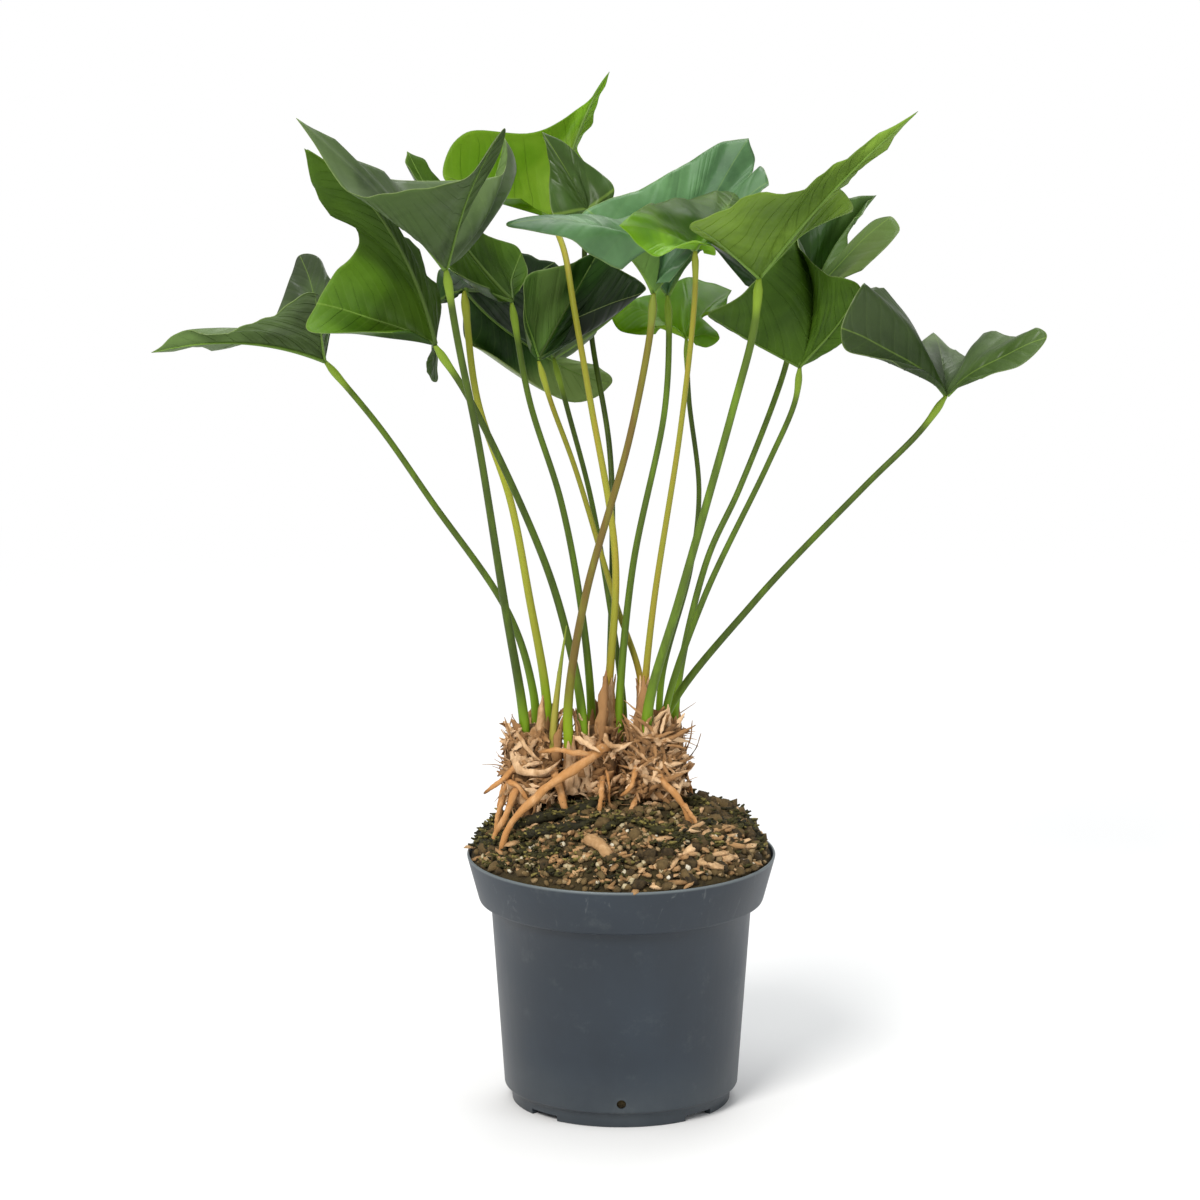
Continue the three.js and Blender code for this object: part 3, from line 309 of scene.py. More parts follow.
# Strands under moss that lie on the soil, and the large chip of bark: each a route over the soil
MOSS_ROPES = [
    (3.6, [(-80, -18), (-62, -33), (-41, -31), (-25, -31), (-12, -20)]),
    (2.8, [(-78, 6), (-62, -8), (-47, -16), (-29, -29)]),
    (3.2, [(-68, -41), (-48, -57), (-28, -53), (-14, -46)]),
    (3.4, [(-77, -28), (-90, -20), (-96, -4), (-92, 12), (-82, 20), (-76, 8)]),
    (2.6, [(12, -53), (31, -59), (53, -61), (70, -48)]),
    (3.0, [(48, -26), (62, -30), (76, -14), (88, 4)]),
    (3.2, [(70, 4), (84, 14), (90, -4), (93, -20)]),
    (2.4, [(-41, -69), (-55, -69), (-67, -53)]),
    (2.4, [(-14, -57), (2, -52), (19, -55)]),
    (2.8, [(40, 30), (60, 34), (78, 30), (86, 20)]),
]
BARK_CHIP = {
    "route": [(-24, -67), (-15, -77), (-7, -85)], "lift": 5, "radius": 4.4,
    "form": [0.5, 0.9, 1, 1.1, 1, 0.95, 1.05, 1, 0.9, 0.95, 1, 0.9, 0.7, 0.3],
}
MOSS_TUFTS = 900
LOOSE_ROPES = 30

# Loose bits on the soil: each piece's lots of lumps, with count, size range, flatness, sector, lift, tilt
# and tone range. A sector is a direction, its spread and two radii, and None is all over the soil
SOIL_BITS = {
    "soil_crumbs": [
        (3000, (1.1, 3.4), (1, 0.8, 0.7), None, 0.3, 0.6, (0, 1)),
        (130, (3.5, 6.5), (1.2, 0.8, 0.8), (0.1, 0.6, 55, 97), 0.3, 0.6, (0, 0.4)),
        (110, (3, 6), (1.2, 0.8, 0.8), None, 0.3, 0.6, (0, 0.5)),
    ],
    "bark_chips": [
        (230, (2.5, 6.5), (1.4, 0.55, 0.3), None, 0.5, 0.6, (0.1, 1)),
        (230, (1.6, 4), (1.3, 0.6, 0.4), (-math.pi / 2, 0.5, 55, 98), 0.6, 0.8, (0.1, 0.9)),
        (60, (3, 8), (1.6, 0.5, 0.3), (-0.65, 0.25, 66, 97), 0.9, 0.5, (0.6, 1)),
    ],
    "pale_stones": [
        (90, (1.2, 3), (1, 0.9, 0.8), (-math.pi / 2, 0.8, 50, 98), 0.5, 1, (0, 1)),
        (50, (1, 2.2), (1, 0.9, 0.8), None, 0.5, 1, (0, 1)),
    ],
}
MOSS_SECTOR = (math.pi + 0.4, 0.9, 35, 99)

# Rough paints: dark, middle and light colour, size of patches, roughness, size and depth of the grain, and
# how the patches are stretched
ROUGH_PAINTS = {
    "soil_mix": ("1e160a", "4c4022", "78663f", 160, 0.95, 700, 0.002, None),
    "soil_crumbs": ("221a0e", "6c5836", "ad936c", 300, 0.95, 1500, 0.001, None),
    "bark_chips": ("5a4120", "a98358", "dcb88c", 220, 0.85, 900, 0.001, None),
    "pale_stones": ("8d7a55", "b7a987", "d8d2c0", 200, 0.8, 900, 0.0006, None),
    "moss": ("15120a", "3e3a17", "84793f", 260, 0.85, 1200, 0.0005, None),
    "sheath": ("2a1a0a", "9e754a", "e2be94", 260, 0.9, 1400, 0.0008, (1, 1, 0.4)),
    "aerial_root": ("5a3a1a", "b8834c", "e8bd8c", 150, 0.8, 1100, 0.0008, (1, 1, 0.4)),
}

# Stalk colours: body, foot and joint
STALK_PAINTS = {
    "green": ("3a4a16", "6c8c1a", "76902a"),
    "yellow": ("8a8a2c", "7c9c14", "98a034"),
    "brown": ("5c4c22", "7c9418", "6f7a2c"),
    "amber": ("8a8a2c", "a87428", "98a034"),
    "shoot": ("74862f", "97903c", "84983a"),
    "rib": ("5c7a2c", "6f8c38", "6f8c38"),
}

# Leaf colours: upper face dark and light, under face dark and light, light that comes through, its share,
# and the gloss of the upper face
TONES = {
    "deep": ("0c2004", "1c3a08", "16300a", "2c5010", "5f8c10", 0.12, 0.2),
    "mid": ("213b06", "385b0c", "2e4a0b", "4e7018", "7aa614", 0.16, 0.22),
    "olive": ("2c4208", "4c6a10", "3c560f", "658228", "9ab02c", 0.2, 0.2),
    "bright": ("3a6404", "688f08", "5a8410", "88aa30", "a8d40a", 0.36, 0.22),
    # The upper faces of the grey, blue and dusky tones are green with a painted sheen of sky reflection
    # greying and blueing their colour
    "grey": ("28391a", "4e6139", "2a3c16", "4d6433", "6d8c34", 0.12, 0.28),
    "dusky_painted_sheen": ("25390f", "44592a", "2a400e", "4a6226", "6d8c34", 0.14, 0.26),
    "blue": ("2a4c2a", "5a8252", "2f4e1c", "5c7c38", "86b032", 0.16, 0.34),
}
VEIN_COLOUR = "7f9a4c"
RIB_COLOUR = "7d9a3e"
MARGIN_COLOUR = "8a9d5a"
# The pale colour that the painted light washes the brightest parts of a blade towards
PAINTED_LIGHT_PALE_COLOUR = "7f8f52"

# The lip colour is a painted highlight along the top of the rim
POT_COLOURS = {
    "dark": "1b242d", "light": "242e38", "dust": "565c5c",
    "low": "4d5355", "scuff": "6d7373", "lip": "6a7274",
}
FLOOR_COLOURS = ("e6e6e6", "e9e9e9")

# The studio, in metres: each light's place, size, power and colour, then the camera
FLOOR_RADIUS = 20 / MM
LIGHT_TARGET = (0, 0, 0.4)
LIGHTS = [
    ("key", (-1.3, -2.7, 2.6), 1.5, 135, (1, 0.98, 0.95)),
    ("fill", (2.6, -1.4, 1.4), 2.0, 22, (0.93, 0.97, 1)),
    ("back", (0.6, 2.4, 3.0), 2.4, 42, (1, 1, 1)),
    ("top", (-0.3, 0.2, 3.2), 2.4, 42, (0.95, 0.98, 1)),
]
WORLD_LIGHT = 0.45
CAMERA = {"place": (-0.01445, -4.5, 1.388), "pitch": 13, "lens": 205.1, "sensor": 36}


# Small helpers

def unit(v):
    """Vectors of length one."""
    return v / np.maximum(np.linalg.norm(v, axis=-1, keepdims=True), 1e-9)


def smooth(x):
    """A soft step from 0 to 1."""
    t = np.clip(x, 0, 1)
    return t * t * (3 - 2 * t)


def bell(x, width):
    """A bell curve, 1 at zero."""
    return np.exp(-((x / width) ** 2))


def linear(code):
    """A colour written as an sRGB hex string, as linear red, green, blue and alpha."""
    channels = [int(code[i:i + 2], 16) / 255 for i in (0, 2, 4)]
    return tuple(((c + 0.055) / 1.055) ** 2.4 if c > 0.04045 else c / 12.92 for c in channels) + (1.0,)


def add_object(name, data):
    """Adds an object with this data to the scene."""
    thing = bpy.data.objects.new(name, data)
    bpy.context.scene.collection.objects.link(thing)
    return thing


def mesh_data(name, points, faces):
    """A mesh in metres from points in millimetres."""
    data = bpy.data.meshes.new(name)
    data.from_pydata((np.asarray(points) * MM).tolist(), [], faces)
    return data


def ring(radius, z, turn):
    """A level ring of points round the pot's axis."""
    return np.stack([radius * np.sin(turn), -radius * np.cos(turn), np.full_like(turn, z)], axis=1)


def full_turn(sides):
    """Evenly spaced angles once round."""
    return np.linspace(0, 2 * math.pi, sides, endpoint=False)


def outward(angle):
    """A level unit vector at an angle from +X."""
    return np.array([math.cos(angle), math.sin(angle), 0])


# Meshes

class Shape:
    """The points, faces, material numbers and named values of one piece."""

    def __init__(self):
        self.points = []
        self.faces = []
        self.paints = []
        self.values = {}
        self.count = 0

    def add(self, points, faces, paint=0, **values):
        """Adds points and faces, with a value or one for each point under each name, 0 where left out."""
        points = np.asarray(points, float).reshape(-1, 3)
        for name, value in values.items():
            column = self.values.setdefault(name, [])
            missing = self.count - sum(len(part) for part in column)
            if missing:
                column.append(np.zeros(missing))
            column.append(np.broadcast_to(np.asarray(value, float).ravel(), (len(points),)))
        self.points.append(points)
        self.faces.extend([[i + self.count for i in face] for face in faces])
        self.paints.extend([paint] * len(faces))
        self.count += len(points)

    def build(self, name, materials, nodes=()):
        """Makes the object, in metres, riding on the plant's one body."""
        data = mesh_data(name, np.vstack(self.points), self.faces)
        for material in materials:
            data.materials.append(material)
        data.polygons.foreach_set("material_index", self.paints)
        data.polygons.foreach_set("use_smooth", [True] * len(self.faces))
        for key, column in self.values.items():
            values = np.concatenate(column)
            values = np.concatenate([values, np.zeros(self.count - len(values))])
            data.attributes.new(key, "FLOAT", "POINT").data.foreach_set("value", values)
        data.update()
        piece = add_object(name, data)
        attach(piece, "root")
        if nodes:
            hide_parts(*nodes)
        return piece


def smooth_route(route, count):
    """Evenly spaced points on a centripetal curve through the route's points."""
    p = np.array(route, float)
    p = np.vstack([2 * p[0] - p[1], p, 2 * p[-1] - p[-2]])
    steps = np.linspace(0, 1, 24, endpoint=False)[:, None]
    fine = []
    for a, b, c, d in zip(p, p[1:], p[2:], p[3:]):
        t0, t1, t2 = (max(np.linalg.norm(gap), 1e-6) ** 0.5 for gap in (b - a, c - b, d - c))
        leave = ((b - a) / t0 - (c - a) / (t0 + t1) + (c - b) / t1) * t1
        arrive = ((c - b) / t1 - (d - b) / (t1 + t2) + (d - c) / t2) * t1
        square = steps ** 2
        cube = steps ** 3
        fine.append((2 * cube - 3 * square + 1) * b + (cube - 2 * square + steps) * leave
                    + (3 * square - 2 * cube) * c + (cube - square) * arrive)
    fine = np.vstack(fine + [p[-2:-1]])
    along = np.concatenate([[0], np.cumsum(np.linalg.norm(np.diff(fine, axis=0), axis=1))])
    at = np.linspace(0, along[-1], count)
    return np.stack([np.interp(at, along, fine[:, k]) for k in range(3)], axis=1)


def frames(centres):
    """Two unit vectors across a line of points at each point, with no twist along it."""
    tangents = unit(np.gradient(centres, axis=0))
    start = np.array([1.0, 0, 0]) if abs(tangents[0][0]) < 0.8 else np.array([0, 1.0, 0])
    sides = []
    for tangent in tangents:
        start = unit(start - tangent * start.dot(tangent))
        sides.append(start)
    sides = np.array(sides)
    return sides, np.cross(tangents, sides)


def ring_faces(rings, sides):
    """Quads between rings of points, and a fan at each end to two last points."""
    start = rings * sides
    faces = []
    for side in range(sides):
        after = (side + 1) % sides
        faces.append([start, after, side])
        for ring in range(rings - 1):
            low = ring * sides
            faces.append([low + side, low + after, low + sides + after, low + sides + side])
        top = (rings - 1) * sides
        faces.append([top + side, top + after, start + 1])
    return faces


def skin(shape, rings, ends, **values):
    """A closed skin over rings of points, with one last point at each end."""
    rings = np.asarray(rings)
    points = np.vstack([rings.reshape(-1, 3), ends])
    shape.add(points, ring_faces(rings.shape[0], rings.shape[1]), **values)


def tube(shape, centres, radii, sides=12, paint=0, **values):
    """A closed round tube, with radii and values given for each centre."""
    across, over = frames(centres)
    turn = full_turn(sides)
    offsets = across[:, None] * np.cos(turn)[None, :, None] + over[:, None] * np.sin(turn)[None, :, None]
    points = centres[:, None] + offsets * np.asarray(radii, float)[:, None, None]
    spread = {}
    for name, value in values.items():
        value = np.broadcast_to(np.asarray(value, float), (len(centres),))
        spread[name] = np.concatenate([np.repeat(value, sides), value[:1], value[-1:]])
    skin(shape, points, [centres[0], centres[-1]], paint=paint, **spread)


# Materials

class Paint:
    """A node material, written as short calls that each add one node."""

    def __init__(self, name):
        self.material = bpy.data.materials.new(name)
        self.material.use_nodes = True
        self.tree = self.material.node_tree
        self.tree.nodes.clear()
        self.place = self.node("TexCoord").outputs["Object"]

    def node(self, kind, inputs=None, **settings):
        node = self.tree.nodes.new("ShaderNode" + kind)
        for key, value in settings.items():
            setattr(node, key, value)
        for key, value in (inputs or {}).items():
            if isinstance(value, bpy.types.NodeSocket):
                self.tree.links.new(value, node.inputs[key])
            else:
                node.inputs[key].default_value = value
        return node

    def noise(self, scale, detail=3, rough=0.55, warp=0, stretch=None):
        place = self.place
        if stretch:
            place = self.node("Mapping", {"Vector": place, "Scale": stretch}).outputs[0]
        inputs = {"Vector": place, "Scale": scale, "Detail": detail, "Roughness": rough, "Distortion": warp}
        return self.node("TexNoise", inputs).outputs[0]

    def value(self, name):
        return self.node("Attribute", attribute_name=name).outputs["Fac"]

    def math(self, operation, a, b=0.0):
        return self.node("Math", {0: a, 1: b}, operation=operation).outputs[0]

    def times(self, a, b):
        return self.math("MULTIPLY", a, b)

    def span(self, x, low, high, start=0.0, end=1.0):
        inputs = {0: x, 1: low, 2: high, 3: start, 4: end}
        return self.node("MapRange", inputs, interpolation_type="SMOOTHSTEP").outputs[0]

    def mix(self, a, b, share):
        a, b = (linear(c) if isinstance(c, str) else c for c in (a, b))
        return self.node("Mix", {0: share, 6: a, 7: b}, data_type="RGBA").outputs[2]

    def over(self, colour, coat, mask, strength):
        return self.mix(colour, coat, self.times(mask, strength))

    def scaled(self, colour, factor):
        return self.node("VectorMath", {0: colour, 1: factor}, operation="MULTIPLY").outputs[0]

    def bump(self, height, distance, strength):
        inputs = {"Height": height, "Distance": distance, "Strength": strength}
        return self.node("Bump", inputs).outputs[0]

    def finish(self, colour, roughness, normal, glow=None, glow_share=0.0, specular=0.5):
        """The shader, with a share of light that comes through where there is a glow, as a material."""
        inputs = {
            "Base Color": colour, "Roughness": roughness, "Specular IOR Level": specular, "Normal": normal,
        }
        shader = self.node("BsdfPrincipled", inputs).outputs[0]
        if glow:
            through = self.node("BsdfTranslucent", {"Color": glow}).outputs[0]
            shader = self.node("MixShader", {0: glow_share, 1: shader, 2: through}).outputs[0]
        self.node("OutputMaterial", {"Surface": shader})
        return self.material


def leaf_paint(tone, face):
    """Satin leaf: patches of two greens, faint side veins, a lighter line along the ribs and the margin, and
    painted light and shade from the blade's light value.
    """
    upper = face == "upper"
    dark, light = TONES[tone][0:2] if upper else TONES[tone][2:4]
    glow, glow_share, gloss = TONES[tone][4:]
    paint = Paint(f"leaf {tone} {face}")
    patches = paint.span(paint.noise(11, 4, 0.6, 0.6), 0.34, 0.7)
    colour = paint.mix(dark, light, patches)
    colour = paint.mix(colour, light, paint.span(paint.value("share"), 0.6, 1.0, 0.0, 0.35))
    speckle = paint.span(paint.noise(420, 3, 0.6), 0.5, 0.75)
    colour = paint.over(colour, light, speckle, 0.25)
    # Painted light and shade: the light value scales the colour, and where it runs well above 1 it washes the
    # colour towards a pale painted light
    lift = paint.value("light")
    softened_painted_light = paint.math("MINIMUM", lift, paint.times(paint.math("ADD", lift, 1.0), 0.5))
    colour = paint.scaled(colour, softened_painted_light)
    colour = paint.mix(colour, PAINTED_LIGHT_PALE_COLOUR, paint.span(lift, 1.0, 6.0, 0.0, 0.75))
    lane = paint.math("FRACT", paint.value("lane"))
    off_lane = paint.math("ABSOLUTE", paint.math("SUBTRACT", lane, 0.5))
    vein = paint.times(paint.span(off_lane, 0.46, 0.5), paint.value("fade"))
    colour = paint.over(colour, VEIN_COLOUR, vein, 0.07 if upper else 0.12)
    beside_rib = paint.span(paint.value("rib"), 0.2, 1.0, 1.0, 0.0)
    colour = paint.over(colour, RIB_COLOUR, beside_rib, 0.42)
    colour = paint.mix(colour, MARGIN_COLOUR, paint.span(paint.value("edge"), 0.1, 0.8, 0.45, 0.0))
    pillow = paint.times(paint.span(off_lane, 0.2, 0.5), paint.value("fade"))
    quilt = paint.math("ADD", paint.times(pillow, -0.6), paint.times(paint.noise(900, 3), 0.06))
    quilt = paint.math("ADD", quilt, paint.times(paint.noise(75, 2, 0.5), 0.9))
    normal = paint.bump(quilt, 0.0007, 0.55)
    low, high = (0.3, 0.46) if upper else (0.46, 0.62)
    roughness = paint.span(paint.noise(50, 3), 0.3, 0.7, low, high)
    return paint.finish(colour, roughness, normal, linear(glow), glow_share, gloss if upper else 0.14)


def stalk_paint(name):
    """Waxy green with long streaks, in other colours near the foot and the joint."""
    body, foot, joint = STALK_PAINTS[name]
    paint = Paint(f"stalk {name}")
    streaks = paint.noise(140, 3, 0.6, 0.2, (1, 1, 0.08))
    colour = paint.over(body, foot, paint.span(streaks, 0.35, 0.75), 0.25)
    colour = paint.scaled(colour, paint.value("light"))
    colour = paint.mix(foot, colour, paint.span(paint.value("up"), 32, 78))
    colour = paint.mix(joint, colour, paint.span(paint.value("down"), 16, 30))
    normal = paint.bump(paint.noise(500, 2, 0.5, 0, (1, 1, 0.1)), 0.0003, 0.2)
    return paint.finish(colour, 0.5, normal, specular=0.2)


def rough_paint(name):
    """Three colours mixed by each bit's own tone and by noise, over a rough grain."""
    dark, middle, light, scale, roughness, grain, depth, stretch = ROUGH_PAINTS[name]
    paint = Paint(name)
    patches = paint.times(paint.noise(scale, 4, 0.6, 0.3, stretch), 0.5)
    share = paint.math("ADD", paint.times(paint.value("tone"), 0.7), patches)
    colour = paint.mix(dark, middle, paint.span(share, 0.15, 0.6))
    colour = paint.mix(colour, light, paint.span(share, 0.7, 1.0))
    normal = paint.bump(paint.noise(grain, 5, 0.65), depth, 0.9)
    return paint.finish(colour, roughness, normal, specular=0.35)


def pot_paint():
    """Slate plastic: cloudy, dusty and scuffed, with a painted highlight along the rim and a paler foot."""
    paint = Paint("pot slate plastic")
    cloudy = paint.noise(9, 4, 0.6, 0.2)
    colour = paint.mix(POT_COLOURS["dark"], POT_COLOURS["light"], paint.span(cloudy, 0.3, 0.7))
    dust = paint.span(paint.noise(42, 6, 0.75), 0.54, 0.8)
    colour = paint.over(colour, POT_COLOURS["dust"], dust, 0.3)
    height = paint.value("height")
    low = paint.times(paint.span(height, 8, 50, 1.0, 0.0), paint.noise(24, 5, 0.7))
    colour = paint.over(colour, POT_COLOURS["low"], low, 0.55)
    scuff = paint.span(paint.noise(60, 5, 0.7, 1.5, (1, 1, 0.35)), 0.6, 0.68)
    scuff = paint.times(scuff, paint.span(height, 135, 165))
    colour = paint.over(colour, POT_COLOURS["scuff"], scuff, 0.3)
    # Painted highlight: the top of the rim is made paler, where light catches it
    colour = paint.over(colour, POT_COLOURS["lip"], paint.span(height, 170.6, 172.4), 0.75)
    drag = paint.noise(260, 2, 0.5, 0, (1, 1, 0.02))
    bumps = paint.math("ADD", paint.times(drag, 0.35), paint.times(paint.noise(1600, 2), 0.3))
    normal = paint.bump(bumps, 0.0003, 0.5)
    roughness = paint.span(cloudy, 0.3, 0.7, 0.4, 0.52)
    return paint.finish(colour, roughness, normal, specular=0.45)


# The pot: a lathed shell with rounded edges, drain holes and foot notches

def pot_profile():
    """Radius and height of the pot's rings, from under the base, up the outside and down the inside."""
    lip = 0.8
    foot = FOOT_RADIUS
    rows = [BODY_FOOT[1] + 0.4, 13, 23, 26, 60, 100, BODY_TOP[1] - 1]
    wall = [(float(np.interp(z, [rows[0], rows[-1]], [BODY_FOOT[0], BODY_TOP[0] - 0.1])), z) for z in rows]
    return [
        (REST_DISC_RADIUS, 0), (REST_DISC_RADIUS + 1.5, BASE_RECESS),
        (foot - FOOT_RING_WIDTH - 1, BASE_RECESS), (foot - FOOT_RING_WIDTH, 0), (foot - 0.5, 0), (foot, 0.5),
        (foot + 0.5, BODY_FOOT[1] - 5), (foot + 1.2, BODY_FOOT[1] - 3.2), (foot + 3, BODY_FOOT[1] - 1.4),
        (BODY_FOOT[0] - 0.4, BODY_FOOT[1] - 0.6), *wall, (BODY_TOP[0] + 0.6, BODY_TOP[1]),
        (BAND_FOOT[0] - 1.6, BAND_FOOT[1] - 1.4), (BAND_FOOT[0] - 0.5, BAND_FOOT[1] - 0.9),
        (BAND_FOOT[0], BAND_FOOT[1] + 0.3),
        (RIM_RADIUS - 0.1, POT_HEIGHT - 1.6), (RIM_RADIUS, POT_HEIGHT - lip),
        (RIM_RADIUS - 0.3, POT_HEIGHT - 0.15), (RIM_RADIUS - 0.8, POT_HEIGHT),
        (RIM_RADIUS - WALL + 0.2, POT_HEIGHT - 0.2), (RIM_RADIUS - WALL, POT_HEIGHT - 0.8),
        INNER_BAND_FOOT, INNER_SHOULDER, INNER_BODY_TOP, INNER_BODY_FOOT, INNER_STEP, INNER_BASE,
    ]


def round_cutter(centre, axis, radius, length):
    """A rod that cuts a round hole."""
    half = np.array(axis) * length / 2
    line = np.array([np.array(centre) - half, np.array(centre) + half])
    shape = Shape()
    tube(shape, line, [radius, radius], 24)
    return add_object("cutter", mesh_data("cutter", np.vstack(shape.points), shape.faces))


def box_cutter(angle):
    """A block across the foot ring that cuts a notch."""
    deep, wide, high = 3 * FOOT_RING_WIDTH / 2, FOOT_NOTCHES["width"] / 2, FOOT_NOTCHES["height"]
    ends = (-1, 1)
    corners = [(x * deep + FOOT_RADIUS, y * wide, z * high) for x in ends for y in ends for z in ends]
    cos, sin = math.cos(angle), math.sin(angle)
    points = [(x * cos - y * sin, x * sin + y * cos, z) for x, y, z in corners]
    faces = [[0, 1, 3, 2], [4, 6, 7, 5], [0, 4, 5, 1], [2, 3, 7, 6], [0, 2, 6, 4], [1, 5, 7, 3]]
    return add_object("cutter", mesh_data("cutter", points, faces))


def apply_modifiers(piece):
    """Replaces the piece's mesh by what its modifiers make of it."""
    final = bpy.data.meshes.new_from_object(piece.evaluated_get(bpy.context.evaluated_depsgraph_get()))
    piece.modifiers.clear()
    piece.data = final


def make_pot():
    """The shell, with holes in its wall and base and notches in its foot cut out."""
    profile = pot_profile()
    turn = full_turn(POT_SEGMENTS)
    height = [z for r, z in profile for _ in turn] + [0, BASE_TOP]
    shape = Shape()
    skin(shape, [ring(r, z, turn) for r, z in profile], [[0, 0, 0], [0, 0, BASE_TOP]], height=height)
    pot = shape.build("nursery_pot", [pot_paint()], ["pot"])
    tools = []
    for angle in full_turn(WALL_HOLES["count"]) - math.pi / 2:
        out = outward(angle)
        centre = out * BODY_FOOT[0] + [0, 0, WALL_HOLES["z"]]
        tools.append(round_cutter(centre, out, WALL_HOLES["radius"], 12))
    for angle in full_turn(BASE_HOLES["count"]) + math.pi / BASE_HOLES["count"]:
        centre = outward(angle) * BASE_HOLES["ring"] + [0, 0, BASE_TOP]
        tools.append(round_cutter(centre, [0, 0, 1], BASE_HOLES["radius"], 3 * BASE_TOP))
    for angle in full_turn(FOOT_NOTCHES["count"]) + math.pi / FOOT_NOTCHES["count"]:
        tools.append(box_cutter(angle))
    for tool in tools:
        modifier = pot.modifiers.new("cut", "BOOLEAN")
        modifier.object = tool
        modifier.operation = "DIFFERENCE"
        modifier.solver = "MANIFOLD"
    apply_modifiers(pot)
    for tool in tools:
        bpy.data.objects.remove(tool)
    pot.data.set_sharp_from_angle(angle=math.radians(50))


# The soil

def soil_top(x, y):
    """The height of the soil's heaped and bumpy top."""
    share = np.minimum(1, np.hypot(x, y) / (RIM_RADIUS - WALL))
    heap = SOIL_EDGE_Z + SOIL_HEAP * (1 - share ** 3)
    bumps = np.sin(x * 0.13 + 1.2) * np.cos(y * 0.11) + 0.6 * np.sin(x * 0.07 - y * 0.19)
    return heap + SOIL_BUMP * bumps * (1 - share ** 6) + 1.4 * np.sin(5 * np.arctan2(y, x)) * share


def make_soil():
    random = np.random.default_rng(11)
    turn = full_turn(SOIL_SEGMENTS)
    inside = [INNER_BASE, INNER_STEP, INNER_BODY_FOOT, INNER_BODY_TOP, INNER_SHOULDER, INNER_BAND_FOOT]
    rings = [ring(r - SOIL_GAP, z + SOIL_GAP, turn) for r, z in inside]
    for r in np.linspace(RIM_RADIUS - WALL - 1.2, 2, SOIL_RINGS):
        top = ring(r, 0, turn)
        rough = SOIL_ROUGHNESS * random.random(SOIL_SEGMENTS) * (r < 98)
        top[:, 2] = soil_top(top[:, 0], top[:, 1]) - rough
        rings.append(top)
    shape = Shape()
    skin(shape, rings, [[0, 0, BASE_TOP + SOIL_GAP], [0, 0, soil_top(0.0, 0.0)]], tone=0.2)
    shape.build("soil_mix", [rough_paint("soil_mix")], ["soil"])


# A rough round lump's corners and faces, the start of every crumb and chip
GOLD = (1 + 5 ** 0.5) / 2
LUMP_POINTS = unit(np.array([
    (-1, GOLD, 0), (1, GOLD, 0), (-1, -GOLD, 0), (1, -GOLD, 0), (0, -1, GOLD), (0, 1, GOLD),
    (0, -1, -GOLD), (0, 1, -GOLD), (GOLD, 0, -1), (GOLD, 0, 1), (-GOLD, 0, -1), (-GOLD, 0, 1),
]))
LUMP_FACES = [
    [0, 11, 5], [0, 5, 1], [0, 1, 7], [0, 7, 10], [0, 10, 11], [1, 5, 9], [5, 11, 4], [11, 10, 2], [10, 7, 6],
    [7, 1, 8], [3, 9, 4], [3, 4, 2], [3, 2, 6], [3, 6, 8], [3, 8, 9], [4, 9, 5], [2, 4, 11], [6, 2, 10],
    [8, 6, 7], [9, 8, 1],
]


def turned(points, random, tilt):
    """The points turned at random about Z, and tilted at random up to tilt radians."""
    for axis, limit in ((0, tilt), (1, tilt), (2, math.pi)):
        angle = random.uniform(-limit, limit)
        i, j = [k for k in range(3) if k != axis]
        turn = np.eye(3)
        turn[i, i] = turn[j, j] = math.cos(angle)
        turn[i, j] = -math.sin(angle)
        turn[j, i] = math.sin(angle)
        points = points @ turn.T
    return points


def soil_place(random, sector=None):
    """A random place on the soil, in a sector or all over it."""
    if sector:
        angle, spread, low, high = sector
        angle = random.normal(angle, spread)
        radius = math.sqrt(random.uniform(low ** 2, high ** 2))
    else:
        radius = 100 * math.sqrt(random.random())
        angle = random.uniform(0, 2 * math.pi)
    return radius * math.cos(angle), radius * math.sin(angle)


def scatter(shape, random, count, size, flat, sector, lift, tilt, tone):
    """One lot of rough lumps on the soil."""
    for _ in range(count):
        x, y = soil_place(random, sector)
        radius = random.uniform(*size)
        lump = LUMP_POINTS * random.uniform(0.75, 1.25, (12, 1)) * radius * np.array(flat)
        lump = turned(lump, random, tilt) + [x, y, soil_top(x, y) + radius * flat[2] * lift]
        shape.add(lump, LUMP_FACES, tone=random.uniform(*tone))


def make_soil_bits():
    random = np.random.default_rng(23)
    for name, lots in SOIL_BITS.items():
        shape = Shape()
        for lot in lots:
            scatter(shape, random, *lot)
        if name == "bark_chips":
            route = [[x, y, soil_top(x, y) + BARK_CHIP["lift"]] for x, y in BARK_CHIP["route"]]
            radii = BARK_CHIP["radius"] * np.array(BARK_CHIP["form"])
            tube(shape, smooth_route(route, len(radii)), radii, 9, tone=0.7)
        shape.build(name, [rough_paint(name)])


def sprig(shape, random, root, size, tone):
    """A tuft of moss: short pointed shoots from one root."""
    for _ in range(3):
        lean = random.normal(0, 0.9, 2)
        length = random.uniform(0.4, 1) * size
        knee = root + [lean[0], lean[1], length * 0.6]
        path = np.array([root, knee, root + [lean[0] * 2.6, lean[1] * 2.6, length]])
        tube(shape, path, [0.9, 1.25, 0.6], 3, tone=tone)


def moss_rope(shape, random, places, radius, tone):
    """A strand of old root grown over with moss, lying on the soil."""
    route = [[x, y, soil_top(x, y) + 0.5 * radius + random.uniform(0, 0.8 * radius)] for x, y in places]
    line = smooth_route(route, 7 * len(places))
    count = len(line)
    ends = np.interp(np.linspace(0, 1, count), [0, 0.15, 0.85, 1], [0.3, 1, 0.9, 0.25])
    tube(shape, line, radius * ends * random.uniform(0.75, 1.25, count), 9, tone=tone)
    for point in line[1:-1]:
        for _ in range(int(radius)):
            sprig(shape, random, point + random.normal(0, 0.45 * radius, 3), 2.4, random.uniform(0, 1))


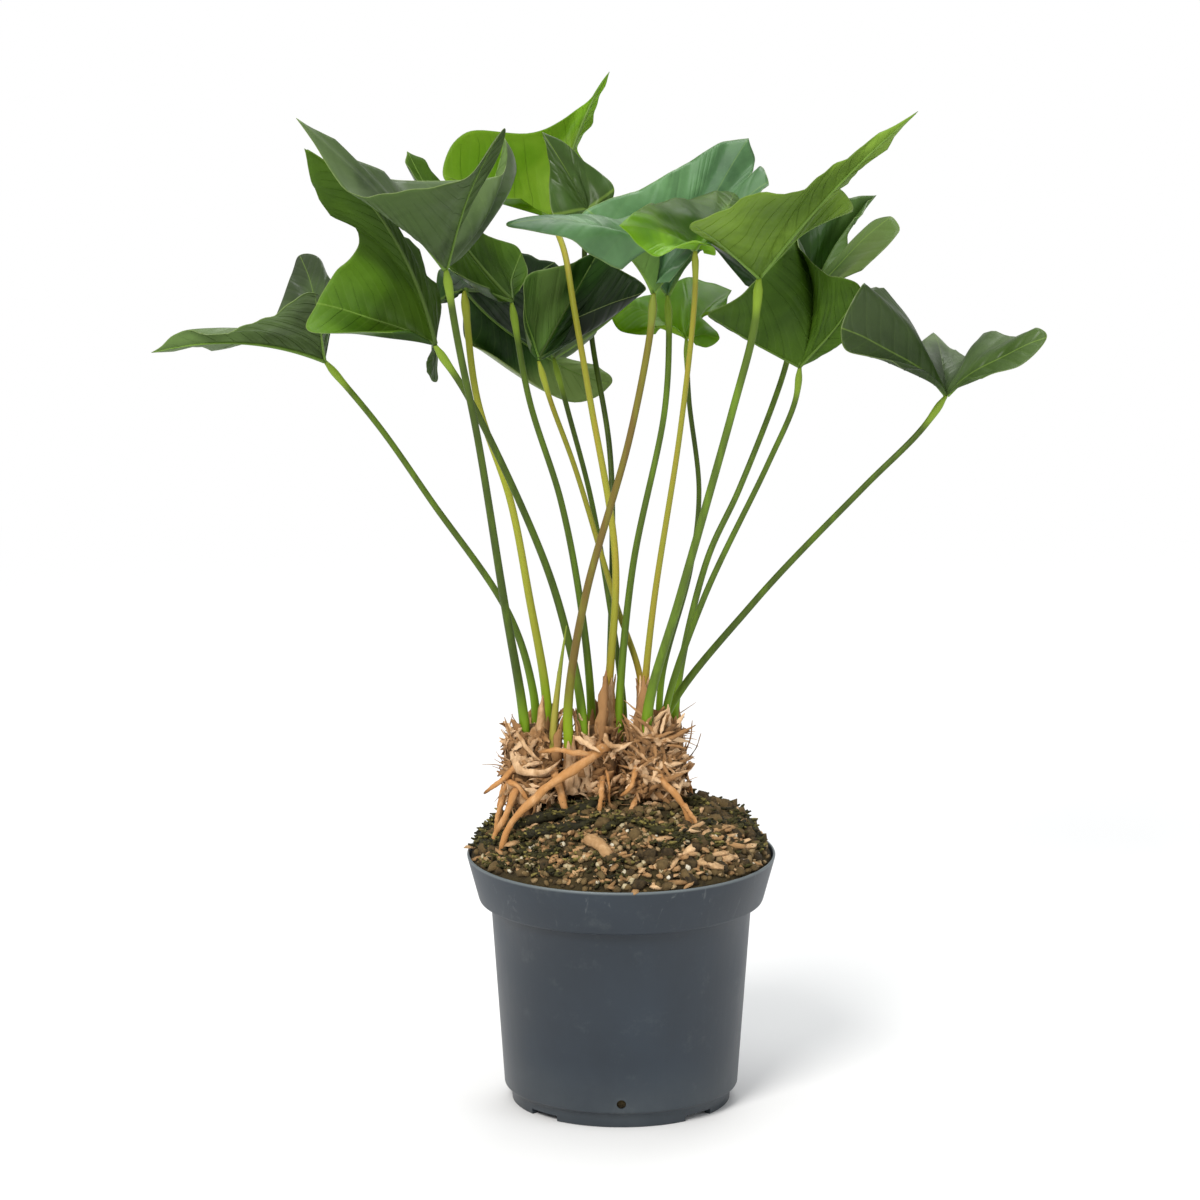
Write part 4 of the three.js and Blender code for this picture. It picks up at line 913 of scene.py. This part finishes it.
def make_moss():
    """Tufts all over, thickest on the left, and overgrown strands of root."""
    random = np.random.default_rng(37)
    moss = Shape()
    for _ in range(MOSS_TUFTS):
        x, y = soil_place(random, MOSS_SECTOR if random.random() < 0.5 else None)
        sprig(moss, random, np.array([x, y, soil_top(x, y) + 0.5]), 3, random.random())
    for radius, places in MOSS_ROPES:
        moss_rope(moss, random, places, radius, random.uniform(0, 0.3))
    for _ in range(LOOSE_ROPES):
        start = np.array([*soil_place(random), 0])
        angle = random.uniform(0, 2 * math.pi)
        reach = random.uniform(6, 15)
        places = [tuple((start + k * reach * outward(angle + 0.4 * k))[:2]) for k in range(3)]
        if all(math.hypot(*place) < 97 for place in places):
            moss_rope(moss, random, places, random.uniform(1.6, 3.4), random.uniform(0, 0.5))
    moss.build("moss", [rough_paint("moss")])


# The crowns: a lumpy core, ragged sheaths, dry fibres and aerial roots

def shard(shape, path, side, width, cup, tone):
    """A thin pointed strip along a path, cupped across, closed all round."""
    out = unit(np.cross(side, np.gradient(path, axis=0)))
    cols = np.linspace(-1, 1, 4)
    steps = np.arange(len(path))[:, None]
    phase = path[0].sum()
    ragged = 1 + 0.22 * np.sin(steps * 2.1 + phase + 2 * np.sign(cols)) * np.abs(cols)
    crumple = 0.16 * np.sin(steps * 1.7 + 2.6 * cols + phase)
    crumple = crumple + 0.1 * np.sin(steps * 0.9 - 5 * cols + 2 * phase)
    grid = path[:, None] + side[:, None] * (width[:, None] * cols * ragged)[:, :, None]
    grid = grid - out[:, None] * (width[:, None] * (cup * cols ** 2 - crumple))[:, :, None]
    front = grid + out[:, None] * SHARD_THICKNESS / 2
    back = (grid - out[:, None] * SHARD_THICKNESS / 2)[:, ::-1]
    rings = np.concatenate([front, back], axis=1)
    skin(shape, rings, [rings[0].mean(0), rings[-1].mean(0)], tone=tone)


def crown_point(crown, angle, share, z):
    """A point at a share of the crown's radius."""
    return np.array([crown["x"] + crown["rx"] * share * math.cos(angle),
                     crown["y"] + crown["ry"] * share * math.sin(angle), z])


def crown_core(shape, crown):
    """The lumpy root stock, widest above its middle."""
    level = np.linspace(0, 1, 22)[:, None]
    turn = full_turn(36)
    lump = 1 + 0.07 * np.sin(3 * turn + crown["turn"] + 4 * level) + 0.05 * np.sin(5 * turn - 9 * level)
    lump = lump + 0.05 * np.sin(13 * turn + 31 * level) * np.sin(40 * level)
    across = np.interp(level, CORE_LEVELS, CORE_WIDTHS) * lump * 0.94
    height = crown["top"] - CROWN_FOOT_Z
    rings = np.stack([crown["x"] + crown["rx"] * across * np.cos(turn),
                      crown["y"] + crown["ry"] * across * np.sin(turn),
                      CROWN_FOOT_Z + level * height + 0 * turn], axis=-1)
    ends = [[crown["x"], crown["y"], CROWN_FOOT_Z], [crown["x"], crown["y"], crown["top"] + 1]]
    # The core's low tone makes it darker than the strips: partly its own colour, partly painted shade for the
    # gaps between the strips
    skin(shape, rings, ends, tone=0.15)


def strip(shape, crown, route, half_width, tone, cup, foot, tip=0.06):
    """A dry strip along a smooth route, its face turned away from the crown."""
    path = smooth_route(route, STRIP_STEPS)
    out = unit((path - [crown["x"], crown["y"], 0]) * [1, 1, 0])
    side = unit(np.cross(np.gradient(path, axis=0), out))
    width = half_width * np.interp(np.linspace(0, 1, STRIP_STEPS), [0, 0.2, 0.7, 1], [foot, 1, 0.75, tip])
    shard(shape, path, side, width, cup, tone)


def crown_shards(shape, crown, random):
    """Rags of old sheath round the crown, up it and off it, thickest at the front of the right one."""
    for i in range(SHARDS):
        angle = random.uniform(0, 2 * math.pi)
        z = random.uniform(CROWN_FOOT_Z + 26, crown["top"] - 2)
        turn = random.normal(0, 0.5)
        rise = random.normal(2, 7) if i % 3 else random.uniform(8, 24)
        peel = random.uniform(0.02, 0.34)
        level = np.interp(z + rise / 2, [CROWN_FOOT_Z, 225, crown["top"]], [0.7, 1.0, 0.82])
        share = level * random.uniform(0.92, 1.06)
        if crown["name"] == "right" and i % 2:
            angle = random.normal(-1.75, 0.42)
            z = random.uniform(222, 266)
            share = random.uniform(1.0, 1.34)
        route = [crown_point(crown, angle + turn * k, share + peel * k ** 2, z + rise * k - 3 * k * k)
                 for k in (0, 0.33, 0.67, 1)]
        broad = 2 if i % 6 == 0 else 1
        width = random.uniform(0.9, 2.6) * broad
        strip(shape, crown, route, width, random.uniform(0.15, 1.15), random.uniform(0.1, 0.6), 0.35, 0.12)


def crown_sheaths(shape, crown, random):
    """Pointed sheaths that wrap the foot of each stalk, flared where they grow out of the crown."""
    for leaf in LEAVES:
        foot = leaf["stalk"][0]
        if abs(foot[0] - crown["x"]) > CROWN_REACH:
            continue
        line = smooth_route(leaf["stalk"], 240)
        top = SHEATH_TOP[leaf["name"]]
        radius = STALK_RADIUS[leaf["name"]] * BASE_FLARE
        for angle in random.uniform(0, 2 * math.pi) + full_turn(SHEATHS_PER_STALK):
            out = outward(angle)
            height = top + random.uniform(-9, 3)
            route = []
            for drop, gap in ((38, 4.6), (22, 2.2), (9, 0.9), (0, 1.0)):
                z = height - drop
                centre = np.array([np.interp(z, line[:, 2], line[:, axis]) for axis in range(3)])
                route.append(centre * [1, 1, 0] + [0, 0, z] + out * (radius + gap))
            centre = {"x": route[1][0] - 20 * out[0], "y": route[1][1] - 20 * out[1]}
            strip(shape, centre, route, 0.75 * (radius + 1), random.uniform(0.45, 1), 0.55, 1.5, 0.12)


def crown_fibres(shape, crown, random):
    """Short dry fibres that stand off the crown."""
    for _ in range(FIBRES):
        angle = random.uniform(0, 2 * math.pi)
        z = random.uniform(CROWN_FOOT_Z + 20, crown["top"])
        start = crown_point(crown, angle, 0.9, z)
        heading = unit(outward(angle) * random.uniform(0.1, 0.8) + random.normal(0, 0.6, 3))
        length = random.uniform(4, 14)
        t = np.linspace(0, 1, 7)[:, None]
        bend = random.normal(0, 0.3, 3)
        path = start + heading * length * t + bend * length * t ** 2
        tube(shape, path, np.linspace(0.55, 0.15, 7), 4, tone=random.uniform(0.2, 1))


def root_tube(shape, route, radius, random, free):
    """A woody root: slightly kinked and knotted, dark where it ends in the air."""
    steps = 40
    line = smooth_route(route, steps)
    share = np.linspace(0, 1, steps)
    kinks = np.cumsum(random.normal(0, 0.2, (steps, 3)), axis=0) * np.sin(math.pi * share)[:, None]
    knots = 1 + 0.1 * np.sin(share * 21 + radius * 9) + random.normal(0, 0.035, steps)
    radii = radius * np.interp(share, [0, 0.12, 0.6, 0.93, 1], [1.35, 1.1, 0.95, 0.7, 0.3]) * knots
    tone = np.interp(share, [0, 0.75, 1], [0.75, 0.7, 0.0 if free else 0.35])
    tube(shape, line + kinks, radii, 12, 1, tone=tone)


def crown_roots(shape, crown, random):
    """The aerial roots that the photo shows, and loose ones, most of them behind."""
    for radius, route in ROOTS[crown["name"]]:
        last = route[-1]
        if len(last) == 2:
            last = [last[0], last[1], soil_top(last[0], last[1]) - ROOT_DEPTH]
        root_tube(shape, route[:-1] + [last], radius, random, len(route[-1]) == 3)
    for i in range(LOOSE_ROOTS["all"]):
        behind = i < LOOSE_ROOTS["behind"]
        angle = random.uniform(0.1, 0.9) * math.pi if behind else random.uniform(0, 2 * math.pi)
        z = random.uniform(212, 244)
        reach = random.uniform(1.3, 1.9)
        end = crown_point(crown, angle + 0.2, reach, 0)
        ground = soil_top(end[0], end[1])
        route = [
            crown_point(crown, angle, 0.8, z),
            crown_point(crown, angle + 0.1, 0.45 + 0.5 * reach, 0.6 * z + 0.4 * ground),
            crown_point(crown, angle + 0.2, reach, ground - ROOT_DEPTH),
        ]
        root_tube(shape, route, random.uniform(0.8, 1.9), random, False)


def make_crowns():
    paints = [rough_paint("sheath"), rough_paint("aerial_root")]
    for crown in CROWNS:
        random = np.random.default_rng(int(50 + 10 * crown["turn"]))
        shape = Shape()
        crown_core(shape, crown)
        crown_shards(shape, crown, random)
        crown_sheaths(shape, crown, random)
        crown_fibres(shape, crown, random)
        crown_roots(shape, crown, random)
        for half_width, tone, cup, foot, route in STRIPS[crown["name"]]:
            strip(shape, crown, route, half_width, tone, cup, foot)
        shape.build(f"rootstock_{crown['name']}", paints, [f"crown_{crown['name']}"])


# The leaf stalks

def stalk_radius(leaf, share, length):
    """The stalk's radius at shares of its length: flared foot, slight taper, swollen joint."""
    taper = 1 + (TAPER - 1) * smooth(share * 1.3)
    flare = (BASE_FLARE - 1) * bell(share, 0.16)
    swelling = (JOINT_SWELLING - 1) * bell((1 - share) * length - JOINT_CENTRE, JOINT_LENGTH)
    return STALK_RADIUS[leaf["name"]] * (taper + flare + swelling)


def make_stalks():
    paints = {name: stalk_paint(name) for name in ("green", "yellow", "brown", "amber")}
    share = np.linspace(0, 1, STALK_STEPS)
    for leaf in LEAVES:
        name = leaf["name"]
        heart = np.array(leaf["junction"], float)
        back = unit(heart - np.array(leaf["stalk"][-1], float))
        line = smooth_route(leaf["stalk"] + [(heart - 0.4 * back).tolist()], STALK_STEPS)
        length = np.linalg.norm(np.diff(line, axis=0), axis=1).sum()
        up, down = share * length, (1 - share) * length
        radii = stalk_radius(leaf, share, length) * np.interp(down, [0, 8], [0.55, 1])
        shape = Shape()
        tube(shape, line, radii, STALK_SIDES, up=up, down=down, light=STALK_LIGHT[name])
        colour = STALK_COLOURS.get(name, "green")
        paint = paints["amber" if name in AMBER_FEET else colour]
        shape.build(f"leaf_{name}_stalk", [paint], [f"stalk_{name}"])


def make_shoot():
    share = np.linspace(0, 1, 60)
    shape = Shape()
    radii = SHOOT["radius"] * np.cos(share * 1.5) + 0.15
    tube(shape, smooth_route(SHOOT["route"], 60), radii, 16, up=90 * share, down=90, light=1)
    shape.build("spear_shoot", [stalk_paint("shoot")], ["young_shoot"])


# The leaf blades

def half_blade(leaf, side):
    """Half a blade, left for side 1 and right for side -1: its margin, bows, ripple and painted light and
    shade.
    """
    own, other = ("left", "right") if side > 0 else ("right", "left")
    heart = np.array(leaf["junction"], float)
    margin = np.array([leaf["tip"]] + leaf[own], float)
    tip = margin[0] - heart
    lobe = margin[LOBE] - heart
    other_lobe = np.array(leaf[other][LOBE - 1], float) - heart
    up = unit(np.cross(tip, lobe)) * side
    spine_up = unit(up - unit(np.cross(tip, other_lobe)) * side)
    tip_bow = spine_up * TIP_ARCH * np.linalg.norm(tip)
    if "tip_mid" in leaf:
        tip_bow = np.array(leaf["tip_mid"]) - heart - tip / 2
    lobe_bow = up * LOBE_ARCH * np.linalg.norm(lobe)
    if own + "_mid" in leaf:
        lobe_bow = np.array(leaf[own + "_mid"]) - heart - lobe / 2
    natural = (RIPPLE["height"], RIPPLE["length"], int(leaf["name"]) * RIPPLE["phase"])
    at_tip, left, right, left_lobe, right_lobe = LEAF_PAINTED_LIGHT[leaf["name"]]
    light = (at_tip, left, left_lobe, right) if side > 0 else (at_tip, right, right_lobe, left)
    return {"heart": heart, "margin": margin, "up": up, "side": side, "tip_bow": tip_bow,
            "lobe_bow": lobe_bow, "ripple": leaf.get("ripple", natural), "light": light}


def margin_point(margin, place):
    """Points on the smooth curve through the margin's landmarks, by landmark number."""
    padded = np.vstack([2 * margin[0] - margin[1], margin, 2 * margin[-1] - margin[-2]])
    start = np.clip(np.floor(place).astype(int), 0, len(margin) - 2)
    t = (place - start)[..., None]
    a, b, c, d = (padded[start + k] for k in range(4))
    return (b * (1 - 2.5 * t ** 2 + 1.5 * t ** 3) + a * (-0.5 * t + t ** 2 - 0.5 * t ** 3)
            + c * (0.5 * t + 2 * t ** 2 - 1.5 * t ** 3) + d * (-0.5 * t ** 2 + 0.5 * t ** 3))


def flat_place(half, place, share):
    """Where a point of the blade lies: its angle from the tip rib, and its distance from the heart."""
    angle = np.interp(place, LANDMARKS, LANDMARK_ANGLES)
    reach = np.linalg.norm(margin_point(half["margin"], place) - half["heart"], axis=-1)
    return angle, reach * share


def blade_point(half, place, share):
    """Points of the blade, from the heart at share 0 to the margin at share 1."""
    margin = margin_point(half["margin"], place)
    angle = np.interp(place, LANDMARKS, LANDMARK_ANGLES)
    tip_weight = (np.cos(np.minimum(1, angle / LANDMARK_ANGLES[LOBE]) * math.pi / 2) ** 2)[..., None]
    arch = (4 * share * (1 - share))[..., None]
    from_tip = np.linalg.norm(margin - half["margin"][0], axis=-1)
    away = 1 - bell(angle, 12)
    height, length, phase = half["ripple"]
    wave = height * share ** 3 * np.sin(2 * math.pi * from_tip / length + phase + half["side"] * 0.9)
    crimp = CRIMP["height"] * share ** 6 * np.sin(2 * math.pi * from_tip / CRIMP["length"] + 2 * phase)
    swell = SWELL * np.sin(math.pi * np.minimum(1, 1.2 * share))
    swell = swell * np.sin(share * 5.5 + angle * 0.07 + 2 * phase)
    point = half["heart"] + (margin - half["heart"]) * share[..., None]
    point = point + half["tip_bow"] * tip_weight * arch + half["lobe_bow"] * (1 - tip_weight) * arch
    return point + half["up"] * ((wave + crimp + swell) * away)[..., None]


def lanes(angle, distance):
    """The side veins' count along their rib, the distance to the nearest rib, and how far the veins show."""
    near_tip = angle < WAIST_ANGLE
    off = np.radians(np.where(near_tip, angle, np.abs(angle - LANDMARK_ANGLES[LOBE])))
    along = distance * np.cos(off)
    across = distance * np.sin(off)
    lane = (along - VEIN_SLOPE * across) / VEIN_SPACING + 0.5
    fade = smooth((np.abs(angle - WAIST_ANGLE) - 3) / 6)
    return lane, np.abs(across), fade


def painted_leaf_light(half, angle, share, rib):
    """The painted light and shade on the blade: its half's own value, blended into those of the tip, the lobe
    and the rib.
    """
    at_tip = smooth((28 - angle) / 16) * smooth((share - 0.5) / 0.35)
    at_lobe = smooth((angle - 58) / 16) * smooth((share - 0.45) / 0.35)
    tip, own, lobe, other = half["light"]
    plain = (own + other) / 2 + (own - other) / 2 * smooth(rib / 6)
    return plain + (tip - plain) * at_tip + (lobe - plain) * at_lobe


def thickness(share):
    """The blade's thickness, thinner towards the margin."""
    return HEART_THICKNESS + (MARGIN_THICKNESS - HEART_THICKNESS) * share


def rib_line(shape, half, places, shares, radii, sides=8, paint=RIB_PAINT):
    """A rib or vein as a tube sunk into the underside of the blade."""
    point = blade_point(half, places, shares)
    outward = blade_point(half, places, shares * 1.02) - point
    aside = blade_point(half, places + 0.05, shares) - blade_point(half, places - 0.05, shares)
    normal = unit(np.cross(outward, aside)) * half["side"]
    line = point - normal * (thickness(shares) / 2 + 0.15 * radii)[:, None]
    # The ribs and veins carry the blade's painted light and shade too, capped lower on the ribs
    light = painted_leaf_light(half, np.interp(places, LANDMARKS, LANDMARK_ANGLES), shares, 9)
    if paint == RIB_PAINT:
        light = np.minimum(light, RIB_PAINTED_LIGHT_LIMIT)
    tube(shape, line, radii, sides, paint, up=100, down=100, edge=9, rib=9, light=light)


def side_veins(shape, half):
    """Side veins from the tip rib and from both sides of the lobe rib, traced out to the margin."""
    lobe_angle = LANDMARK_ANGLES[LOBE]
    fans = [
        (0, 1, WAIST_ANGLE - 3),
        (lobe_angle, -1, lobe_angle - WAIST_ANGLE - 3),
        (lobe_angle, 1, LANDMARK_ANGLES[-1] - lobe_angle),
    ]
    across = np.linspace(0.02, 70, 46)
    for base, turn, limit in fans:
        for number in range(1, 12):
            along = number * VEIN_SPACING + VEIN_SLOPE * across
            off = np.degrees(np.arctan2(across, along))
            place = np.interp(base + turn * off, LANDMARK_ANGLES, LANDMARKS)
            reach = np.linalg.norm(margin_point(half["margin"], place) - half["heart"], axis=-1)
            share = np.hypot(across, along) / reach
            keep = (share < 0.95) & (off < limit)
            count = int(np.argmin(keep)) if not keep.all() else len(keep)
            if count > 4:
                radii = np.linspace(0.34, 0.14, count)
                rib_line(shape, half, place[:count], share[:count], radii, 5, UNDER_PAINT)


def half_grid(half):
    """The points of half a blade, and the values that its paint reads there."""
    places = np.linspace(0, LANDMARKS[-1], BLADE_COLUMNS)
    shares = np.linspace(0, 1, BLADE_ROWS + 1)[1:]
    place, share = np.meshgrid(places, shares, indexing="ij")
    angle, distance = flat_place(half, place, share)
    lane, rib, fade = lanes(angle, distance)
    fade = fade * (1 - 0.8 * smooth((30 - angle) / 15) * smooth((share - 0.35) / 0.3))
    values = {
        "lane": lane, "rib": rib, "fade": fade, "edge": distance / share - distance, "share": share,
        "light": painted_leaf_light(half, angle, share, rib),
    }
    return blade_point(half, place, share), values


def blade_faces(columns):
    """Faces of the upper skin with the rim, and of the lower skin, for columns of BLADE_ROWS points."""
    count = columns * BLADE_ROWS
    apex = 2 * count
    upper = []
    lower = []

    def at(column, row):
        return column * BLADE_ROWS + row

    for i in range(columns - 1):
        upper.append([apex, at(i, 0), at(i + 1, 0)])
        lower.append([apex + 1, count + at(i + 1, 0), count + at(i, 0)])
        for j in range(BLADE_ROWS - 1):
            quad = [at(i, j), at(i, j + 1), at(i + 1, j + 1), at(i + 1, j)]
            upper.append(quad)
            lower.append([count + k for k in quad[::-1]])
        a, b = at(i, BLADE_ROWS - 1), at(i + 1, BLADE_ROWS - 1)
        upper.append([a, count + a, count + b, b])
    for j in range(-1, BLADE_ROWS - 1):
        for i, flip in ((0, 1), (columns - 1, -1)):
            a = apex if j < 0 else at(i, j)
            b = apex + 1 if j < 0 else count + at(i, j)
            upper.append([a, b, count + at(i, j + 1), at(i, j + 1)][::flip])
    return upper, lower


def make_blade(leaf, paints):
    """A blade of two halves as one closed skin, with its ribs and side veins raised below."""
    halves = [half_blade(leaf, side) for side in (1, -1)]
    (left, left_values), (right, right_values) = (half_grid(half) for half in halves)
    points = np.concatenate([right[:0:-1], left])
    grids = {name: np.concatenate([right_values[name][:0:-1], grid]) for name, grid in left_values.items()}
    heart = halves[0]["heart"]
    spokes = np.concatenate([np.broadcast_to(heart, (len(points), 1, 3)), points], axis=1)
    normal = unit(np.cross(np.gradient(spokes, axis=1)[:, 1:], np.gradient(points, axis=0)))
    thick = (thickness(grids["share"]) * np.where(grids["share"] == 1, 0.6, 1))[..., None]
    heart_normal = unit(normal[:, 0].sum(0))
    skins = [(points + normal * thick * k / 2).reshape(-1, 3) for k in (1, -1)]
    apexes = [heart + heart_normal * HEART_THICKNESS * k / 2 for k in (1, -1)]
    values = {}
    for name, grid in grids.items():
        at_heart = grid.mean() if name == "light" else 0
        values[name] = np.concatenate([grid.ravel(), grid.ravel(), [at_heart, at_heart]])
    shape = Shape()
    upper, lower = blade_faces(len(points))
    shape.add(np.vstack(skins + [apexes]), upper + lower, **values)
    shape.paints = [0] * len(upper) + [UNDER_PAINT] * len(lower)
    line = np.linspace(0.005, 0.985, RIB_STEPS)
    rib_line(shape, halves[0], np.zeros(RIB_STEPS), line, 1.3 * (1 - line) ** 0.8 + 0.25)
    for half in halves:
        lobe = np.full(RIB_STEPS, float(LOBE))
        rib_line(shape, half, lobe, line * 0.95, 0.95 * (1 - line) ** 0.9 + 0.2)
        side_veins(shape, half)
    name = leaf["name"]
    shape.build(f"leaf_{name}_blade", paints, [f"blade_{name}"])


def make_blades():
    rib = stalk_paint("rib")
    paints = {tone: [leaf_paint(tone, "upper"), leaf_paint(tone, "under"), rib] for tone in TONES}
    for leaf in LEAVES:
        make_blade(leaf, paints[OWN_TONES.get(leaf["name"], leaf["tone"])])


# The studio: a pale floor, soft lights and the camera

def make_stage():
    """A pale disc, whose matt middle turns into an even white towards the edge."""
    corners = [outward(angle) * FLOOR_RADIUS for angle in full_turn(96)]
    data = mesh_data("floor", corners, [list(range(96))])
    floor = add_object("floor", data)
    paint = Paint("floor")
    tint = paint.span(paint.noise(2, 2), 0.3, 0.7)
    away = paint.node("VectorMath", {0: paint.place}, operation="LENGTH").outputs["Value"]
    shader = paint.node("BsdfDiffuse", {"Color": paint.mix(*FLOOR_COLOURS, tint)}).outputs[0]
    lit = paint.node("Emission", {"Color": (1, 1, 1, 1)}).outputs[0]
    shader = paint.node("MixShader", {0: paint.span(away, 0.6, 1.9), 1: shader, 2: lit}).outputs[0]
    paint.node("OutputMaterial", {"Surface": shader})
    data.materials.append(paint.material)


def make_light(name, place, size, power, colour):
    """A round soft light that looks at the middle of the plant."""
    light = bpy.data.lights.new(name, "AREA")
    light.shape = "DISK"
    light.size = size
    light.energy = power
    light.color = colour
    lamp = add_object(name, light)
    lamp.location = place
    aim = np.array(LIGHT_TARGET) - np.array(place)
    pitch = math.atan2(aim[2], math.hypot(aim[0], aim[1]))
    heading = math.atan2(aim[1], aim[0])
    lamp.rotation_euler = (math.pi / 2 + pitch, 0, heading - math.pi / 2)


def make_studio():
    for light in LIGHTS:
        make_light(*light)
    world = bpy.data.worlds.new("studio")
    world.use_nodes = True
    background = world.node_tree.nodes["Background"]
    background.inputs[0].default_value = (1, 1, 1, 1)
    background.inputs[1].default_value = WORLD_LIGHT
    scene = bpy.context.scene
    scene.world = world
    scene.view_settings.view_transform = "Standard"
    camera = bpy.data.cameras.new("camera")
    camera.sensor_width = CAMERA["sensor"]
    camera.lens = CAMERA["lens"]
    camera.clip_end = 100
    seat = add_object("camera", camera)
    seat.location = CAMERA["place"]
    seat.rotation_euler = (math.radians(90 - CAMERA["pitch"]), 0, 0)
    scene.camera = seat


make_studio()
make_stage()
make_pot()
make_soil()
make_soil_bits()
make_moss()
make_crowns()
make_stalks()
make_shoot()
make_blades()
